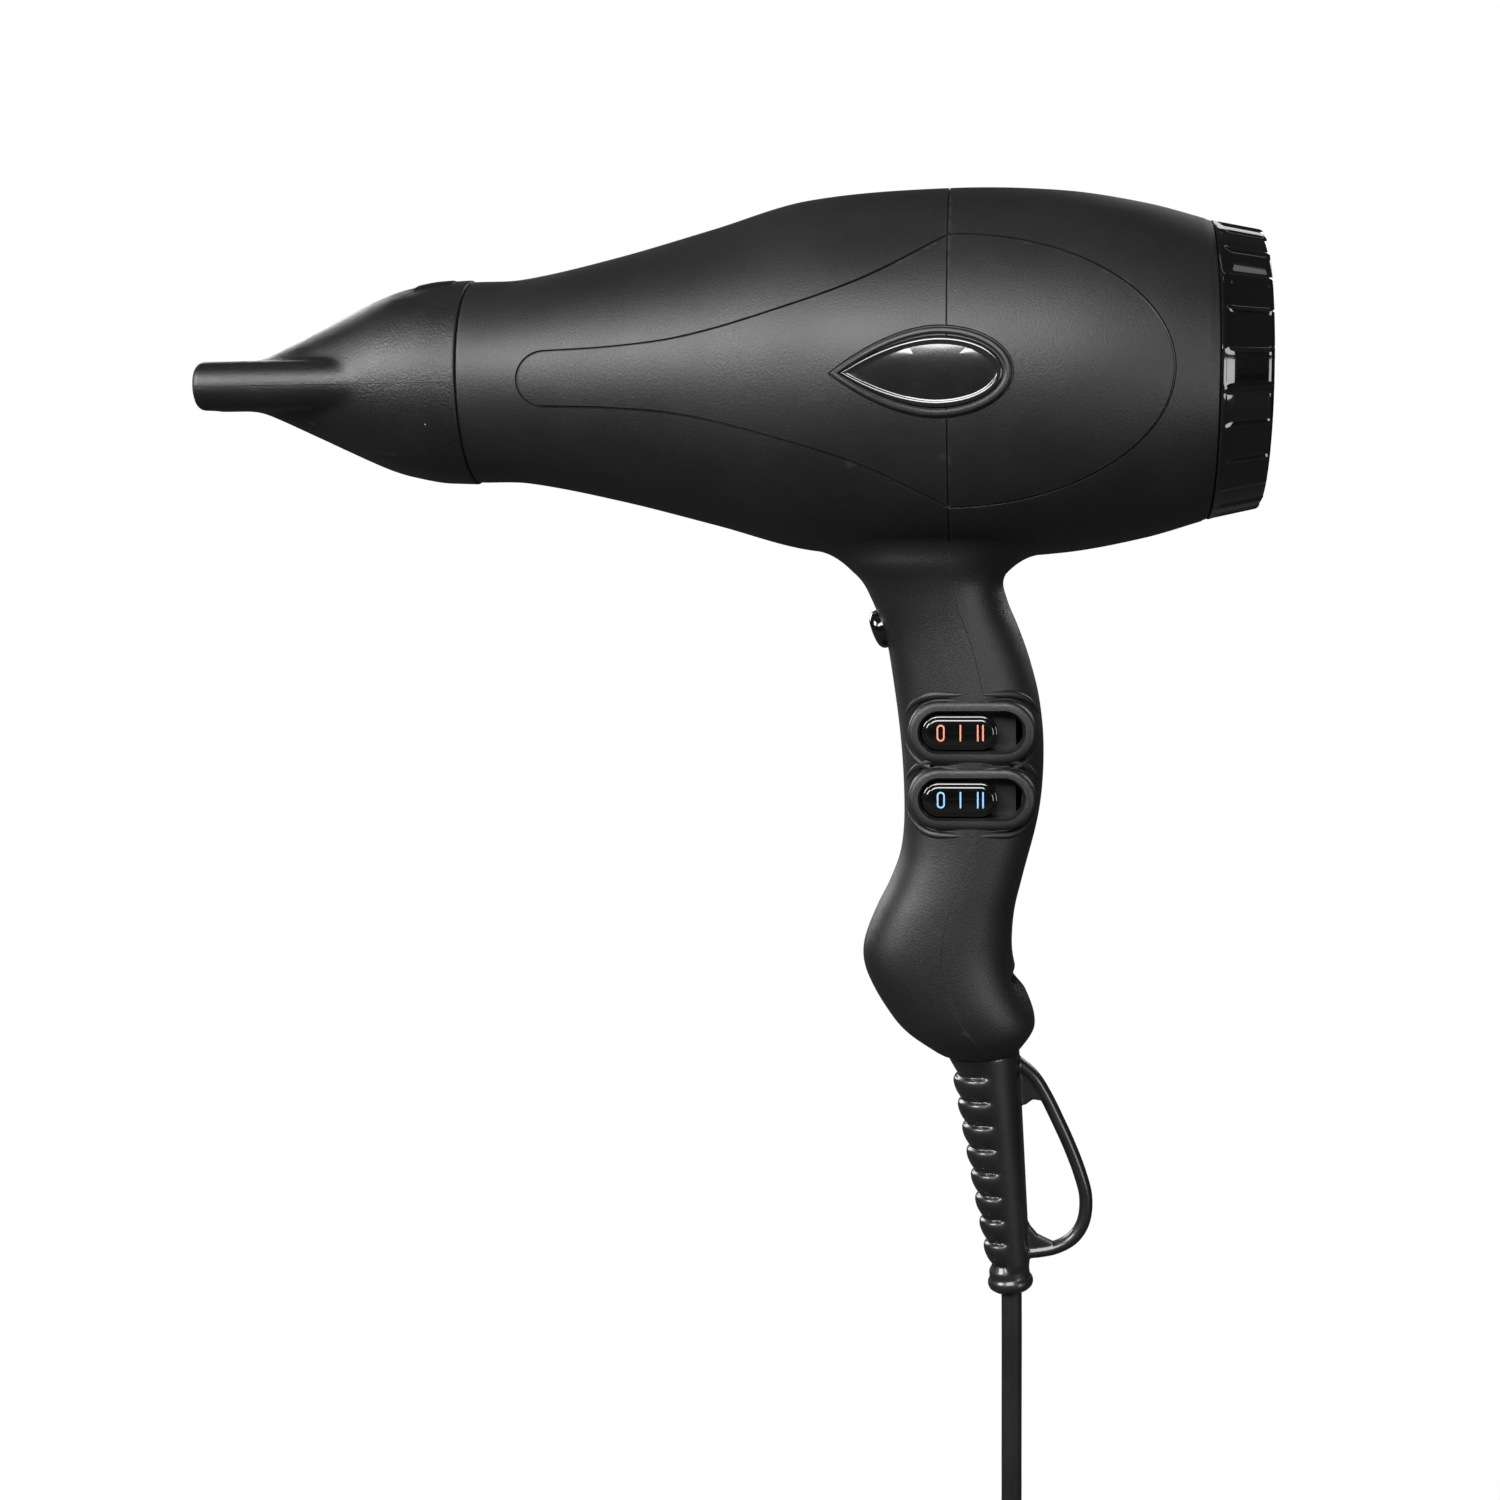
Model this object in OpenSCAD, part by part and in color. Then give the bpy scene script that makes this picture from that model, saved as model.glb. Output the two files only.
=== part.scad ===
// Hand-held hair dryer with a flat nozzle, a curved handle and a mains cord.
// X runs along the air path towards the rear, Z is up, and the origin is the middle of the grip.
// Pieces are drawn around the barrel's axis, with x = 0 at the seam between the two casings.

/* [Barrel] */
// Length of the barrel in front of the casing seam
front_len = 121; // [100:1:146]
// Length of the barrel behind the casing seam
rear_len = 63.5; // [60:0.5:77]
// Radius at the widest point, where the casings meet
barrel_r = 45.8; // [44:0.2:55]
// Radius at the front rim
nose_r = 25.4; // [24:0.2:31]
// Radius at the rear rim
tail_r = 36.7; // [35:0.1:42]
// Wall thickness of the casings
wall = 2.2; // [1.8:0.1:2.8]

/* [Handle] */
// Depth of the handle's end below the barrel axis
handle_len = 174.5; // [160:0.5:210]
// Width of the grip across its sides
grip_w = 32.6; // [30:0.2:40]
// Depth of the grip's middle, where the origin lies, below the barrel axis
grip_drop = 80; // [70:1:95]
// Distance of the grip's middle behind the casing seam
grip_x = 4; // [0:0.5:8]

/* [Nozzle] */
// Length of the nozzle in front of the barrel
nozzle_len = 69; // [60:1:85]
// Width of the flat mouth, outside
mouth_w = 40; // [36:0.5:48]
// Height of the flat mouth, outside
mouth_h = 12.3; // [11:0.1:15]
// Wall thickness of the nozzle
nozzle_wall = 1.8; // [1.4:0.1:2.2]
// Length of the collar that slides over the outlet ring
collar_len = 10; // [8:0.5:12]

/* [Filter cap] */
// Length of the cap behind the barrel
cap_len = 12.8; // [11:0.2:16]
// Radius at the cap's rear edge
cap_end_r = 34; // [33:0.1:35]
// Number of grip grooves round the cap
cap_grooves = 24; // [12:1:30]

/* [Air path] */
// Radius of the motor's can
motor_r = 16; // [13:0.5:19]
// Length of the motor's can
motor_len = 32; // [26:1:38]
// Length of the impeller's blades along the axis
impeller_len = 15; // [12:0.5:18]
// Number of impeller blades
blades = 9; // [7:1:13]
// Number of fixed vanes round the motor
vanes = 7; // [5:1:11]
// Radius of the motor shaft
shaft_r = 1.5; // [1.5:0.1:2]
// Outer radius of the shaft bearings
bearing_r = 5; // [4.5:0.1:6]
// Wall thickness of the air guide
guide_wall = 1.5; // [1.2:0.1:2]
// Wall thickness of the heat shield
shield_wall = 0.6; // [0.5:0.1:1]
// Number of heater windings
heater_turns = 10; // [6:1:14]

/* [Switches] */
// Length of each slider along the handle's depth
slider_len = 19; // [16:0.5:20]
// Height of each slider
slider_h = 8.8; // [7:0.2:10]
// Travel of each slider between its end stops
slider_travel = 6; // [4:0.5:7]
// Depth of the heat slider below the barrel axis
heat_drop = 88.3; // [86:0.1:90]
// Depth of the speed slider below the barrel axis
speed_drop = 105.2; // [104:0.1:108]
// Distance of the slider slots' middle behind the casing seam
switch_x = 5.4; // [5:0.1:6]
// Height of the slots' raised rim above the grip's side
rim_rise = 0.6; // [0.4:0.1:1]

/* [Cool-shot button] */
// Radius of the button
button_r = 5; // [4:0.1:5.5]
// Travel of the button
button_travel = 2.5; // [1.5:0.1:3]
// Depth of the button below the barrel axis
button_drop = 63.5; // [62:0.5:68]
// Angle by which the button faces down from straight ahead
button_tilt = 20; // [10:1:25]

/* [Strain relief] */
// Length of the strain relief below the handle
relief_len = 65; // [55:1:75]
// Radius at the handle
relief_r = 9.2; // [8.6:0.1:10]
// Radius at the free end
relief_end_r = 5.2; // [5:0.1:6]
// Angle by which it leans to the rear
relief_lean = 6.4; // [4:0.1:8]
// Number of flexing ribs
relief_ribs = 8; // [6:1:10]
// Thickness of the hanging loop
loop_t = 4.4; // [3:0.2:6]

/* [Badges] */
// Length of the oval badge on each side
badge_len = 38; // [30:0.5:42]
// Height of the oval badge
badge_h = 16.4; // [12:0.2:20]

/* [Cord and plug] */
// Diameter of the cord
cord_d = 5.5; // [5:0.1:7]
// Radius at the middle of the coil's turns
coil_mid_r = 31; // [28:0.5:36]
// Radial width of the coil
coil_w = 24.6; // [20:0.2:28]
// Height of the coil
coil_h = 21.8; // [18:0.2:26]
// Width of the plug's body
plug_w = 35.5; // [34:0.5:38]
// Thickness of the plug's body
plug_t = 15.5; // [14:0.5:17]
// Radius of each pin
pin_r = 2.4; // [2:0.05:2.4]
// Distance between the pins' centres
pin_gap = 19; // [18.6:0.1:19.4]
// Length of each pin
pin_len = 19; // [17:0.5:20]

/* [Clearances] */
// Gap between pieces that seat in each other
fit = 0.15; // [0.1:0.05:0.2]
// Gap between pieces that slide or turn on each other
run = 0.3; // [0.25:0.05:0.4]
// Gap between the shaft and its bearings
shaft_run = 0.05; // [0.02:0.01:0.08]

/* [Hidden] */

// How finely round things are drawn
round_fn = 72;
fine_fn = 96;
small_fn = 32;
casing_fn = 56;
hole_fn = 20;

// Curve through a list of points, each [place along, value]
function part_of(line, s, i = 0) = i < len(line) - 2 && s > line[i + 1][0] ? part_of(line, s, i + 1) : i;
function rise(line, a, b) = (line[b][1] - line[a][1]) / (line[b][0] - line[a][0]);
function slope(line, i) = rise(line, max(i - 1, 0), min(i + 1, len(line) - 1));
function blend(p, q, m, n, w, t) =
    (2 * pow(t, 3) - 3 * t * t + 1) * p + (pow(t, 3) - 2 * t * t + t) * w * m
    + (3 * t * t - 2 * pow(t, 3)) * q + (pow(t, 3) - t * t) * w * n;
function along(line, s) =
    let (i = part_of(line, s), w = line[i + 1][0] - line[i][0], t = (s - line[i][0]) / w)
    blend(line[i][1], line[i + 1][1], slope(line, i), slope(line, i + 1), w, t);

// Outline of the barrel, from the front rim to the rear rim
swell = barrel_r - nose_r;
taper = barrel_r - tail_r;
barrel_line = [
    [-front_len, nose_r],
    [-0.89 * front_len, nose_r + 0.02 * swell],
    [-0.69 * front_len, nose_r + 0.26 * swell],
    [-0.49 * front_len, nose_r + 0.57 * swell],
    [-0.29 * front_len, nose_r + 0.89 * swell],
    [0, barrel_r],
    [0.44 * rear_len, tail_r + 0.87 * taper],
    [0.76 * rear_len, tail_r + 0.48 * taper],
    [rear_len, tail_r]
];
function barrel(x) = along(barrel_line, x);
function bore_of_barrel(x) = barrel(x) - wall;

// Outlines of the handle: percent of its visible length, then the place of that edge
front_edge = [
    [-12, -34], [-5, -33], [0, -28.2], [4, -22.9], [8, -20.1], [14, -17.1], [20, -15.5], [36, -12.9],
    [50, -12.1], [58, -13], [64, -15.6], [70, -19.4], [76, -22.4], [80, -22.9], [84, -21.5], [90, -17.3],
    [95, -12.2], [100, -3]
];
rear_edge = [
    [-12, 30], [-5, 28], [0, 17.5], [4, 13.4], [8, 14.1], [14, 17.2], [20, 19.9], [28, 22.4], [38, 23.5],
    [50, 22.4], [64, 18], [70, 16.2], [76, 15.5], [80, 15.8], [84, 17.2], [88, 19.6], [92, 21.3],
    [95, 21], [100, 16.5]
];
grip_side = grip_w / 2;
side_edge = [
    [-12, grip_side + 2.7], [-5, grip_side + 4.2], [0, grip_side + 3.8], [4, grip_side + 2.1],
    [8, grip_side + 1], [14, grip_side + 0.3], [30, grip_side], [55, grip_side - 0.1], [76, grip_side + 0.9],
    [88, grip_side + 0.3], [95, grip_side - 1.6], [100, grip_side - 5.5]
];
// Line on which the casings meet on the handle's sides
seam_edge = [
    [0, 0.2], [8, 1.5], [14, 4.4], [22, 7.2], [30, 8.9], [40, 9.3], [53, 7.2], [62, 3],
    [70, -0.8], [78, -2.5], [84, -1.8], [90, 1.6], [96, 7], [102, 13]
];
visible_len = handle_len - barrel_r;
function drop_at(percent) = barrel_r + percent * visible_len / 100;
function percent_at(drop) = 100 * (drop - barrel_r) / visible_len;
function front_at(drop) = along(front_edge, percent_at(drop));
function rear_at(drop) = along(rear_edge, percent_at(drop));

// Rounded rectangle that is fuller than an ellipse
fullness = 2.3;
function full(v) = sign(v) * pow(abs(v), 2 / fullness);
ring_points = 28;
function handle_ring(percent, inset) =
    let (a = along(front_edge, percent) + inset, b = along(rear_edge, percent) - inset)
    let (side = along(side_edge, percent) - inset)
    [for (i = [0 : ring_points - 1]) let (turn = i * 360 / ring_points)
        [(a + b) / 2 + (b - a) / 2 * full(cos(turn)), side * full(sin(turn)), -drop_at(percent)]];
function flat(lists) = [for (list = lists) for (item = list) item];
// Faces of a tube of rings, closed at both ends
function tube_faces(n, rings) = concat(
    [[for (j = [n - 1 : -1 : 0]) j]],
    flat([for (i = [0 : rings - 2]) [for (j = [0 : n - 1])
        [i * n + j, i * n + (j + 1) % n, (i + 1) * n + (j + 1) % n, (i + 1) * n + j]]]),
    [[for (j = [0 : n - 1]) (rings - 1) * n + j]]
);
handle_top = -12;
handle_rings = 24;
module handle_body(inset, last) {
    spread = (last - handle_top) / (handle_rings - 1);
    rings = [for (i = [0 : handle_rings - 1]) handle_ring(handle_top + i * spread, inset)];
    polyhedron(flat(rings), tube_faces(ring_points, handle_rings), convexity = 6);
}

// Round cord swept along a route of points
function unit(v) = v / norm(v);
function heading(route, i) = unit(route[min(i + 1, len(route) - 1)] - route[max(i - 1, 0)]);
function cord_ring(centre, ahead, r, n) =
    let (side = unit(cross(ahead, abs(ahead[1]) < 0.9 ? [0, 1, 0] : [1, 0, 0])), up = cross(side, ahead))
    [for (j = [0 : n - 1]) centre + r * cos(j * 360 / n) * side + r * sin(j * 360 / n) * up];
module swept(route, r, n) {
    rings = [for (i = [0 : len(route) - 1]) cord_ring(route[i], heading(route, i), r, n)];
    polyhedron(flat(rings), tube_faces(n, len(route)), convexity = 6);
}

// Body of revolution about the barrel's axis, from points of [radius, place along the axis]
module spun(points, fn = round_fn) {
    rotate([0, 90, 0])
        rotate_extrude($fn = fn)
            polygon(points);
}
module tube_x(x0, x1, r0, r1, fn = round_fn) {
    spun([[r0, x0], [r1, x0], [r1, x1], [r0, x1]], fn);
}
// Flat shape drawn in the plane of the barrel's axis and the handle, y0 to y1 thick
module side_shape(y0, y1) {
    translate([0, y1, 0])
        rotate([90, 0, 0])
            linear_extrude(y1 - y0)
                children();
}
module slot_shape(length, height, fn = small_fn) {
    for (end = [-1, 1])
        translate([end * (length - height) / 2, 0])
            circle(d = height, $fn = fn);
    square([length - height, height], center = true);
}
// Moves the barrel's axis to its place above the grip's middle
module on_axis() {
    translate([-grip_x, 0, grip_drop])
        children();
}

// Places along the air path, worked out from the two rims
spigot_r = nose_r - wall - fit;
spigot_bore = spigot_r - 2;
spigot_front = -front_len - collar_len;
flange_x = -front_len + 21;
flange_t = 2;
socket_len = 6;
shield_r = spigot_r - 0.25;
flange_r = min(bore_of_barrel(flange_x), bore_of_barrel(flange_x + flange_t)) - fit;
grille_t = 1.6;
grille_x = rear_len - 3.3;
fan_gap = 3;
fan_end = grille_x - fan_gap;
fan_start = fan_end - impeller_len;
motor_end = fan_start - fan_gap;
motor_start = motor_end - motor_len;
guide_start = motor_start - fan_gap;
cone_len = 16;
shield_end = guide_start - cone_len;
duct_bore = tail_r - wall - 2;
duct_r = duct_bore + guide_wall;
tip_gap = 0.7;

// Casings
barrel_steps = 15;
function barrel_profile(inset, x0, x1) = concat(
    [[0, x0]],
    [for (i = [0 : barrel_steps]) let (x = x0 + i * (x1 - x0) / barrel_steps) [barrel(x) - inset, x]],
    [[0, x1]]
);
module barrel_solid() {
    spun(barrel_profile(0, -front_len, rear_len), casing_fn);
}
module barrel_hollow() {
    profile = barrel_profile(wall, -front_len, rear_len);
    last = len(profile) - 2;
    spun(concat(
        [[0, -front_len - 1], [profile[1][0], -front_len - 1]],
        [for (i = [1 : last]) profile[i]],
        [[profile[last][0], rear_len + 1], [0, rear_len + 1]]
    ), casing_fn);
}
floor_t = 1.8;
handle_floor = 100 - 100 * floor_t / visible_len;
pad_root = 10.2;
pad_face = grip_side + rim_rise;
slot_len = slider_len + slider_travel + 2 * fit + 0.5;
slot_h = slider_h + 2 * run + 0.4;
rim_w = 3;
switch_drops = [heat_drop, speed_drop];
module switch_pads() {
    for (drop = switch_drops)
        translate([switch_x, 0, -drop])
            side_shape(-pad_face, -pad_root)
                slot_shape(slot_len + 2 * rim_w, slot_h + 2 * rim_w, hole_fn);
}
module switch_slots() {
    for (drop = switch_drops)
        translate([switch_x, 0, -drop])
            side_shape(-pad_face - 5, -pad_root + 1)
                slot_shape(slot_len, slot_h, hole_fn);
}
button_bore = button_r + run;
module at_button() {
    translate([front_at(button_drop), 0, -button_drop])
        rotate([0, 90 - button_tilt, 0])
            children();
}
relief_x = 8.3;
module at_relief() {
    translate([relief_x, 0, -handle_len])
        rotate([0, -relief_lean, 0])
            children();
}
neck_r = 7;
neck_len = 7;
screw_drop = handle_len - 20;
screw_seat = rear_at(screw_drop) - 6.5;
screw_len = 18;
screw_head_r = 3;
screw_r = 1.5;
boss_r = 4;
module screw_boss() {
    boss_start = front_at(screw_drop) + 1;
    boss_end = rear_at(screw_drop) - 1;
    translate([boss_start, 0, -screw_drop])
        rotate([0, 90, 0])
            cylinder(r = boss_r, h = boss_end - boss_start, $fn = hole_fn);
}
module screw_hole() {
    translate([screw_seat, 0, -screw_drop])
        rotate([0, 90, 0])
            cylinder(r = screw_head_r + run, h = 30, $fn = hole_fn);
    translate([screw_seat - screw_len - 1, 0, -screw_drop])
        rotate([0, 90, 0])
            cylinder(r = screw_r + fit, h = screw_len + 2, $fn = hole_fn);
}
clamp_drop = handle_len - 41;
clamp_face = 3.4;
clamp_reach = 6;
module clamp_posts() {
    post_start = front_at(clamp_drop) + 1;
    for (y = [-clamp_reach, clamp_reach])
        translate([post_start, y, -clamp_drop])
            rotate([0, 90, 0])
                cylinder(r = 2.4, h = clamp_face - post_start, $fn = hole_fn);
}
clamp_screw_r = 1;
module clamp_holes() {
    for (y = [-clamp_reach, clamp_reach])
        translate([clamp_face - 8, y, -clamp_drop])
            rotate([0, 90, 0])
                cylinder(r = clamp_screw_r + fit, h = 9, $fn = hole_fn);
}
// Badge outline: pointed at the front, round at the rear
badge_rear = 13;
badge_mid = badge_rear - 0.4 * badge_len;
badge_front = badge_rear - badge_len;
badge_steps = 8;
function badge_half(x, grow) =
    let (h = badge_h / 2 + grow)
    x > badge_mid
        ? h * sqrt(max(0, 1 - pow((x - badge_mid) / (badge_rear + grow - badge_mid), 2)))
        : h * (1 - pow((badge_mid - x) / (badge_mid - badge_front + grow), 1.8));
function badge_edge(grow, sense) = [for (i = [0 : 2 * badge_steps])
    let (s = i / badge_steps - 1, swing = sin(90 * s))
    let (reach = swing < 0 ? badge_mid - badge_front + grow : badge_rear + grow - badge_mid)
    let (x = badge_mid + swing * reach)
    [x, sense * badge_half(x, grow)]];
function badge_outline(grow) = concat(badge_edge(grow, 1), [for (i = [2 * badge_steps - 1 : -1 : 1])
    badge_edge(grow, -1)[i]]);
badge_depth = 1.1;
badge_rise = 0.4;
module badge_recesses() {
    difference() {
        side_shape(-barrel_r - 5, barrel_r + 5)
            polygon(badge_outline(fit));
        spun(barrel_profile(badge_depth, -front_len / 2, rear_len - 1), casing_fn);
    }
}
module front_region() {
    percents = [for (i = [0 : 25]) 4 * i + 2];
    side_shape(-100, 100)
        polygon(concat(
            [[0, 100], [0, -barrel_r]],
            [for (p = percents) [along(seam_edge, p), -drop_at(p)]],
            [[-200, -handle_len - 10], [-200, 100]]
        ));
}
module whole_casing() {
    difference() {
        union() {
            barrel_solid();
            handle_body(0, 100);
            switch_pads();
        }
        difference() {
            union() {
                barrel_hollow();
                handle_body(wall, handle_floor);
            }
            switch_pads();
            difference() {
                screw_boss();
                barrel_hollow();
            }
        }
        switch_slots();
        screw_hole();
        badge_recesses();
        at_button()
            translate([0, 0, -10])
                cylinder(r = button_bore, h = 16, $fn = hole_fn);
        at_relief()
            translate([0, 0, -5])
                cylinder(r = neck_r + fit, h = 20, $fn = hole_fn);
    }
}
// Lip that locates the casings in each other
lip_t = 1.4;
lip_reach = 4;
module seam_lip() {
    lip_r = barrel_r - wall - fit;
    difference() {
        spun([
            [lip_r - lip_t, -2 * lip_reach], [barrel(-2 * lip_reach) - 1, -2 * lip_reach],
            [barrel_r - 1, -0.5], [lip_r, -0.5], [lip_r, lip_reach], [lip_r - lip_t, lip_reach]
        ], casing_fn);
        handle_body(wall, handle_floor);
    }
}
// Leaves every size as it is and joins the faces below into one skin
module one_skin() {
    resize([0, 0, 0])
        children();
}
module front_shell() {
    color([0.05, 0.05, 0.055])
        on_axis()
            one_skin() {
                intersection() {
                    whole_casing();
                    front_region();
                }
                seam_lip();
                difference() {
                    clamp_posts();
                    clamp_holes();
                }
            }
}
module rear_shell() {
    color([0.05, 0.05, 0.055])
        on_axis()
            one_skin()
                difference() {
                    whole_casing();
                    front_region();
                }
}
// Front end: outlet ring, grille and nozzle
module outlet_ring() {
    color([0.08, 0.08, 0.08])
        on_axis()
            spun([
                [spigot_bore, spigot_front], [spigot_r - 0.5, spigot_front], [spigot_r, spigot_front + 0.8],
                [spigot_r, flange_x], [flange_r, flange_x], [flange_r, flange_x + flange_t + socket_len],
                [shield_r + fit, flange_x + flange_t + socket_len], [shield_r + fit, flange_x + flange_t],
                [spigot_bore, flange_x + flange_t]
            ]);
}
outlet_x = -front_len + 6;
outlet_t = 2;
hub_r = 3;
needle_r = 0.7;
module rings_x(x0, x1, radii, width) {
    for (r = radii)
        tube_x(x0, x1, r - width / 2, r + width / 2);
}
module spokes_x(x0, x1, count, r0, r1, width) {
    for (i = [0 : count - 1])
        rotate([i * 360 / count, 0, 0])
            translate([x0, -width / 2, r0])
                cube([x1 - x0, width, r1 - r0]);
}
module outlet_grille() {
    rim_r = spigot_bore - fit;
    color([0.75, 0.62, 0.38])
        on_axis()
            union() {
                tube_x(outlet_x, outlet_x + outlet_t, rim_r - 1.2, rim_r);
                rings_x(outlet_x, outlet_x + outlet_t, [rim_r * 0.4, rim_r * 0.68], 1);
                spokes_x(outlet_x, outlet_x + outlet_t, 8, hub_r - 0.5, rim_r - 0.6, 1);
                tube_x(outlet_x, outlet_x + outlet_t, needle_r, hub_r);
            }
}
module ion_needle() {
    color([0.85, 0.7, 0.3])
        on_axis()
            spun([
                [0, outlet_x - 5], [needle_r - fit, outlet_x - 2], [needle_r - fit, outlet_x + outlet_t],
                [needle_r + 0.6, outlet_x + outlet_t], [needle_r + 0.6, outlet_x + outlet_t + 4],
                [0, outlet_x + outlet_t + 4]
            ], small_fn);
}
// Outline of the nozzle's dome: distance in front of the barrel, then radius
dome_end = 57.5;
dome_line = [
    [0, nose_r + 0.1], [9, nose_r], [14, nose_r - 0.9], [20, nose_r - 2.4], [26, nose_r - 4.7],
    [42, nose_r - 12.1], [dome_end, mouth_h / 2 - 0.1]
];
dome_steps = 22;
nozzle_back = fit;
collar_bore = spigot_r + run;
function dome_profile(inset, s0, s1) = concat(
    [[0, -front_len - s0]],
    [for (i = [0 : dome_steps])
        let (s = s0 + i * (s1 - s0) / dome_steps)
        [along(dome_line, s) - inset, -front_len - s]],
    [[0, -front_len - s1]]
);
module mouth_shape(shrink) {
    rotate([0, -90, 0])
        linear_extrude(nozzle_len - 20)
            rotate(90)
                slot_shape(mouth_w - 2 * shrink, mouth_h - 2 * shrink, 48);
}
module nozzle() {
    color([0.05, 0.05, 0.055])
        on_axis()
            difference() {
                union() {
                    spun(dome_profile(0, nozzle_back, dome_end));
                    translate([-front_len - 20, 0, 0])
                        mouth_shape(0);
                }
                spun([
                    [0, -front_len + 1], [collar_bore, -front_len + 1],
                    [collar_bore, -front_len - collar_len - 0.5], [0, -front_len - collar_len - 0.5]
                ]);
                spun(dome_profile(nozzle_wall + 0.2, collar_len, dome_end - 5));
                translate([-front_len - 21, 0, 0])
                    mouth_shape(nozzle_wall);
            }
}
// Heater
module heat_shield() {
    color([0.72, 0.68, 0.58])
        on_axis()
            tube_x(flange_x + flange_t, shield_end, shield_r - shield_wall, shield_r);
}
frame_start = flange_x + flange_t + 3;
frame_end = shield_end - 6;
frame_t = 1;
tab_len = 4;
tab_r = shield_r - shield_wall - fit;
winding_r = shield_r - 5;
module heater_frame() {
    color([0.8, 0.76, 0.66])
        on_axis()
            union()
                for (turn = [0, 90])
                    rotate([turn, 0, 0]) {
                        for (x = [frame_start, frame_end - tab_len])
                            translate([x, -frame_t / 2, -tab_r])
                                cube([tab_len, frame_t, 2 * tab_r]);
                        translate([frame_start, -frame_t / 2, -winding_r])
                            cube([frame_end - frame_start, frame_t, 2 * winding_r]);
                        translate([frame_end - 1, -frame_t / 2, -6])
                            cube([10, frame_t, 12]);
                    }
}
wire_r = 0.6;
module heater_windings() {
    winding_start = frame_start + tab_len + 2;
    pitch = (frame_end - tab_len - 2 - winding_start) / (heater_turns - 1);
    color([0.62, 0.56, 0.5])
        on_axis()
            for (i = [0 : heater_turns - 1])
                translate([winding_start + i * pitch, 0, 0])
                    rotate([0, 90, 0])
                        rotate_extrude($fn = round_fn)
                            translate([winding_r + wire_r + fit, 0])
                                circle(r = wire_r, $fn = 16);
}
safety_x = frame_end;
module thermostat() {
    color([0.7, 0.5, 0.3])
        on_axis()
            translate([safety_x, frame_t / 2, frame_t / 2 + 0.5])
                cube([8, 4, 5]);
}
module thermal_fuse() {
    color([0.8, 0.8, 0.78])
        on_axis()
            translate([safety_x, -frame_t / 2 - 2, 3.2])
                rotate([0, 90, 0])
                    cylinder(r = 1.9, h = 8, $fn = small_fn);
}
// Motor, fan and air guide
module air_guide() {
    sleeve_bore = motor_r + fit;
    sleeve_r = sleeve_bore + guide_wall;
    shield_bore = shield_r + fit;
    guide_flange_x = guide_start + 24;
    guide_flange_r = min(bore_of_barrel(guide_flange_x), bore_of_barrel(guide_flange_x + 3)) - fit;
    vane_start = motor_start + 2;
    color([0.16, 0.16, 0.17])
        on_axis()
            union() {
                spun([
                    [shield_bore, shield_end - 5], [shield_bore + guide_wall, shield_end - 5],
                    [shield_bore + guide_wall, shield_end], [duct_r, guide_start], [duct_r, guide_flange_x],
                    [guide_flange_r, guide_flange_x], [guide_flange_r, guide_flange_x + 3],
                    [duct_r, guide_flange_x + 3], [duct_r, grille_x], [duct_bore, grille_x],
                    [duct_bore, guide_start], [shield_bore - shield_wall, shield_end],
                    [shield_bore, shield_end]
                ]);
                tube_x(motor_start, motor_end, sleeve_bore, sleeve_r);
                for (i = [0 : vanes - 1])
                    rotate([i * 360 / vanes, 0, 0])
                        translate([vane_start, -0.7, sleeve_r - 0.5])
                            cube([22, 1.4, duct_bore - sleeve_r + 1]);
            }
}
plate_t = 4;
can_t = 1.4;
bearing_t = 3;
module motor_can() {
    pocket_r = bearing_r + fit;
    can_bore = motor_r - can_t;
    vent_r = (pocket_r + can_bore) / 2;
    color([0.6, 0.61, 0.63])
        on_axis()
            difference() {
                spun([
                    [shaft_r + 1, motor_start], [motor_r, motor_start], [motor_r, motor_end],
                    [shaft_r + 1, motor_end], [shaft_r + 1, motor_end - plate_t + bearing_t],
                    [pocket_r, motor_end - plate_t + bearing_t], [pocket_r, motor_end - plate_t],
                    [can_bore, motor_end - plate_t], [can_bore, motor_start + plate_t],
                    [pocket_r, motor_start + plate_t], [pocket_r, motor_start + plate_t - bearing_t],
                    [shaft_r + 1, motor_start + plate_t - bearing_t]
                ]);
                for (i = [0 : 5])
                    rotate([i * 60, 0, 0])
                        translate([motor_start - 1, 0, vent_r])
                            rotate([0, 90, 0])
                                cylinder(r = 2, h = motor_len + 2, $fn = small_fn);
            }
}
magnet_r = 0.56 * motor_r;
core_bore = magnet_r + run + 0.1;
core_start = motor_start + 9;
core_end = motor_end - 9;
module stator_core() {
    core_r = motor_r - can_t - fit;
    color([0.42, 0.43, 0.45])
        on_axis()
            difference() {
                tube_x(core_start, core_end, core_bore, core_r);
                for (i = [0 : 5])
                    rotate([i * 60 + 30, 0, 0])
                        translate([core_start - 1, -1.2, core_bore - 1])
                            cube([core_end - core_start + 2, 2.4, 3.6]);
            }
}
module stator_windings() {
    color([0.72, 0.38, 0.18])
        on_axis()
            for (x = [core_start - 3.2, core_end])
                tube_x(x, x + 3.2, core_bore + 0.6, motor_r - can_t - 0.8, small_fn);
}
module motor_magnet() {
    color([0.2, 0.2, 0.22])
        on_axis()
            tube_x(core_start, core_end, shaft_r, magnet_r);
}
shaft_start = motor_start - 1.5;
shaft_end = fan_end - 2;
module motor_shaft() {
    color([0.78, 0.79, 0.8])
        on_axis()
            spun([
                [0, shaft_start], [shaft_r - 0.3, shaft_start], [shaft_r, shaft_start + 0.3],
                [shaft_r, shaft_end - 0.3], [shaft_r - 0.3, shaft_end], [0, shaft_end]
            ], 48);
}
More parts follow.
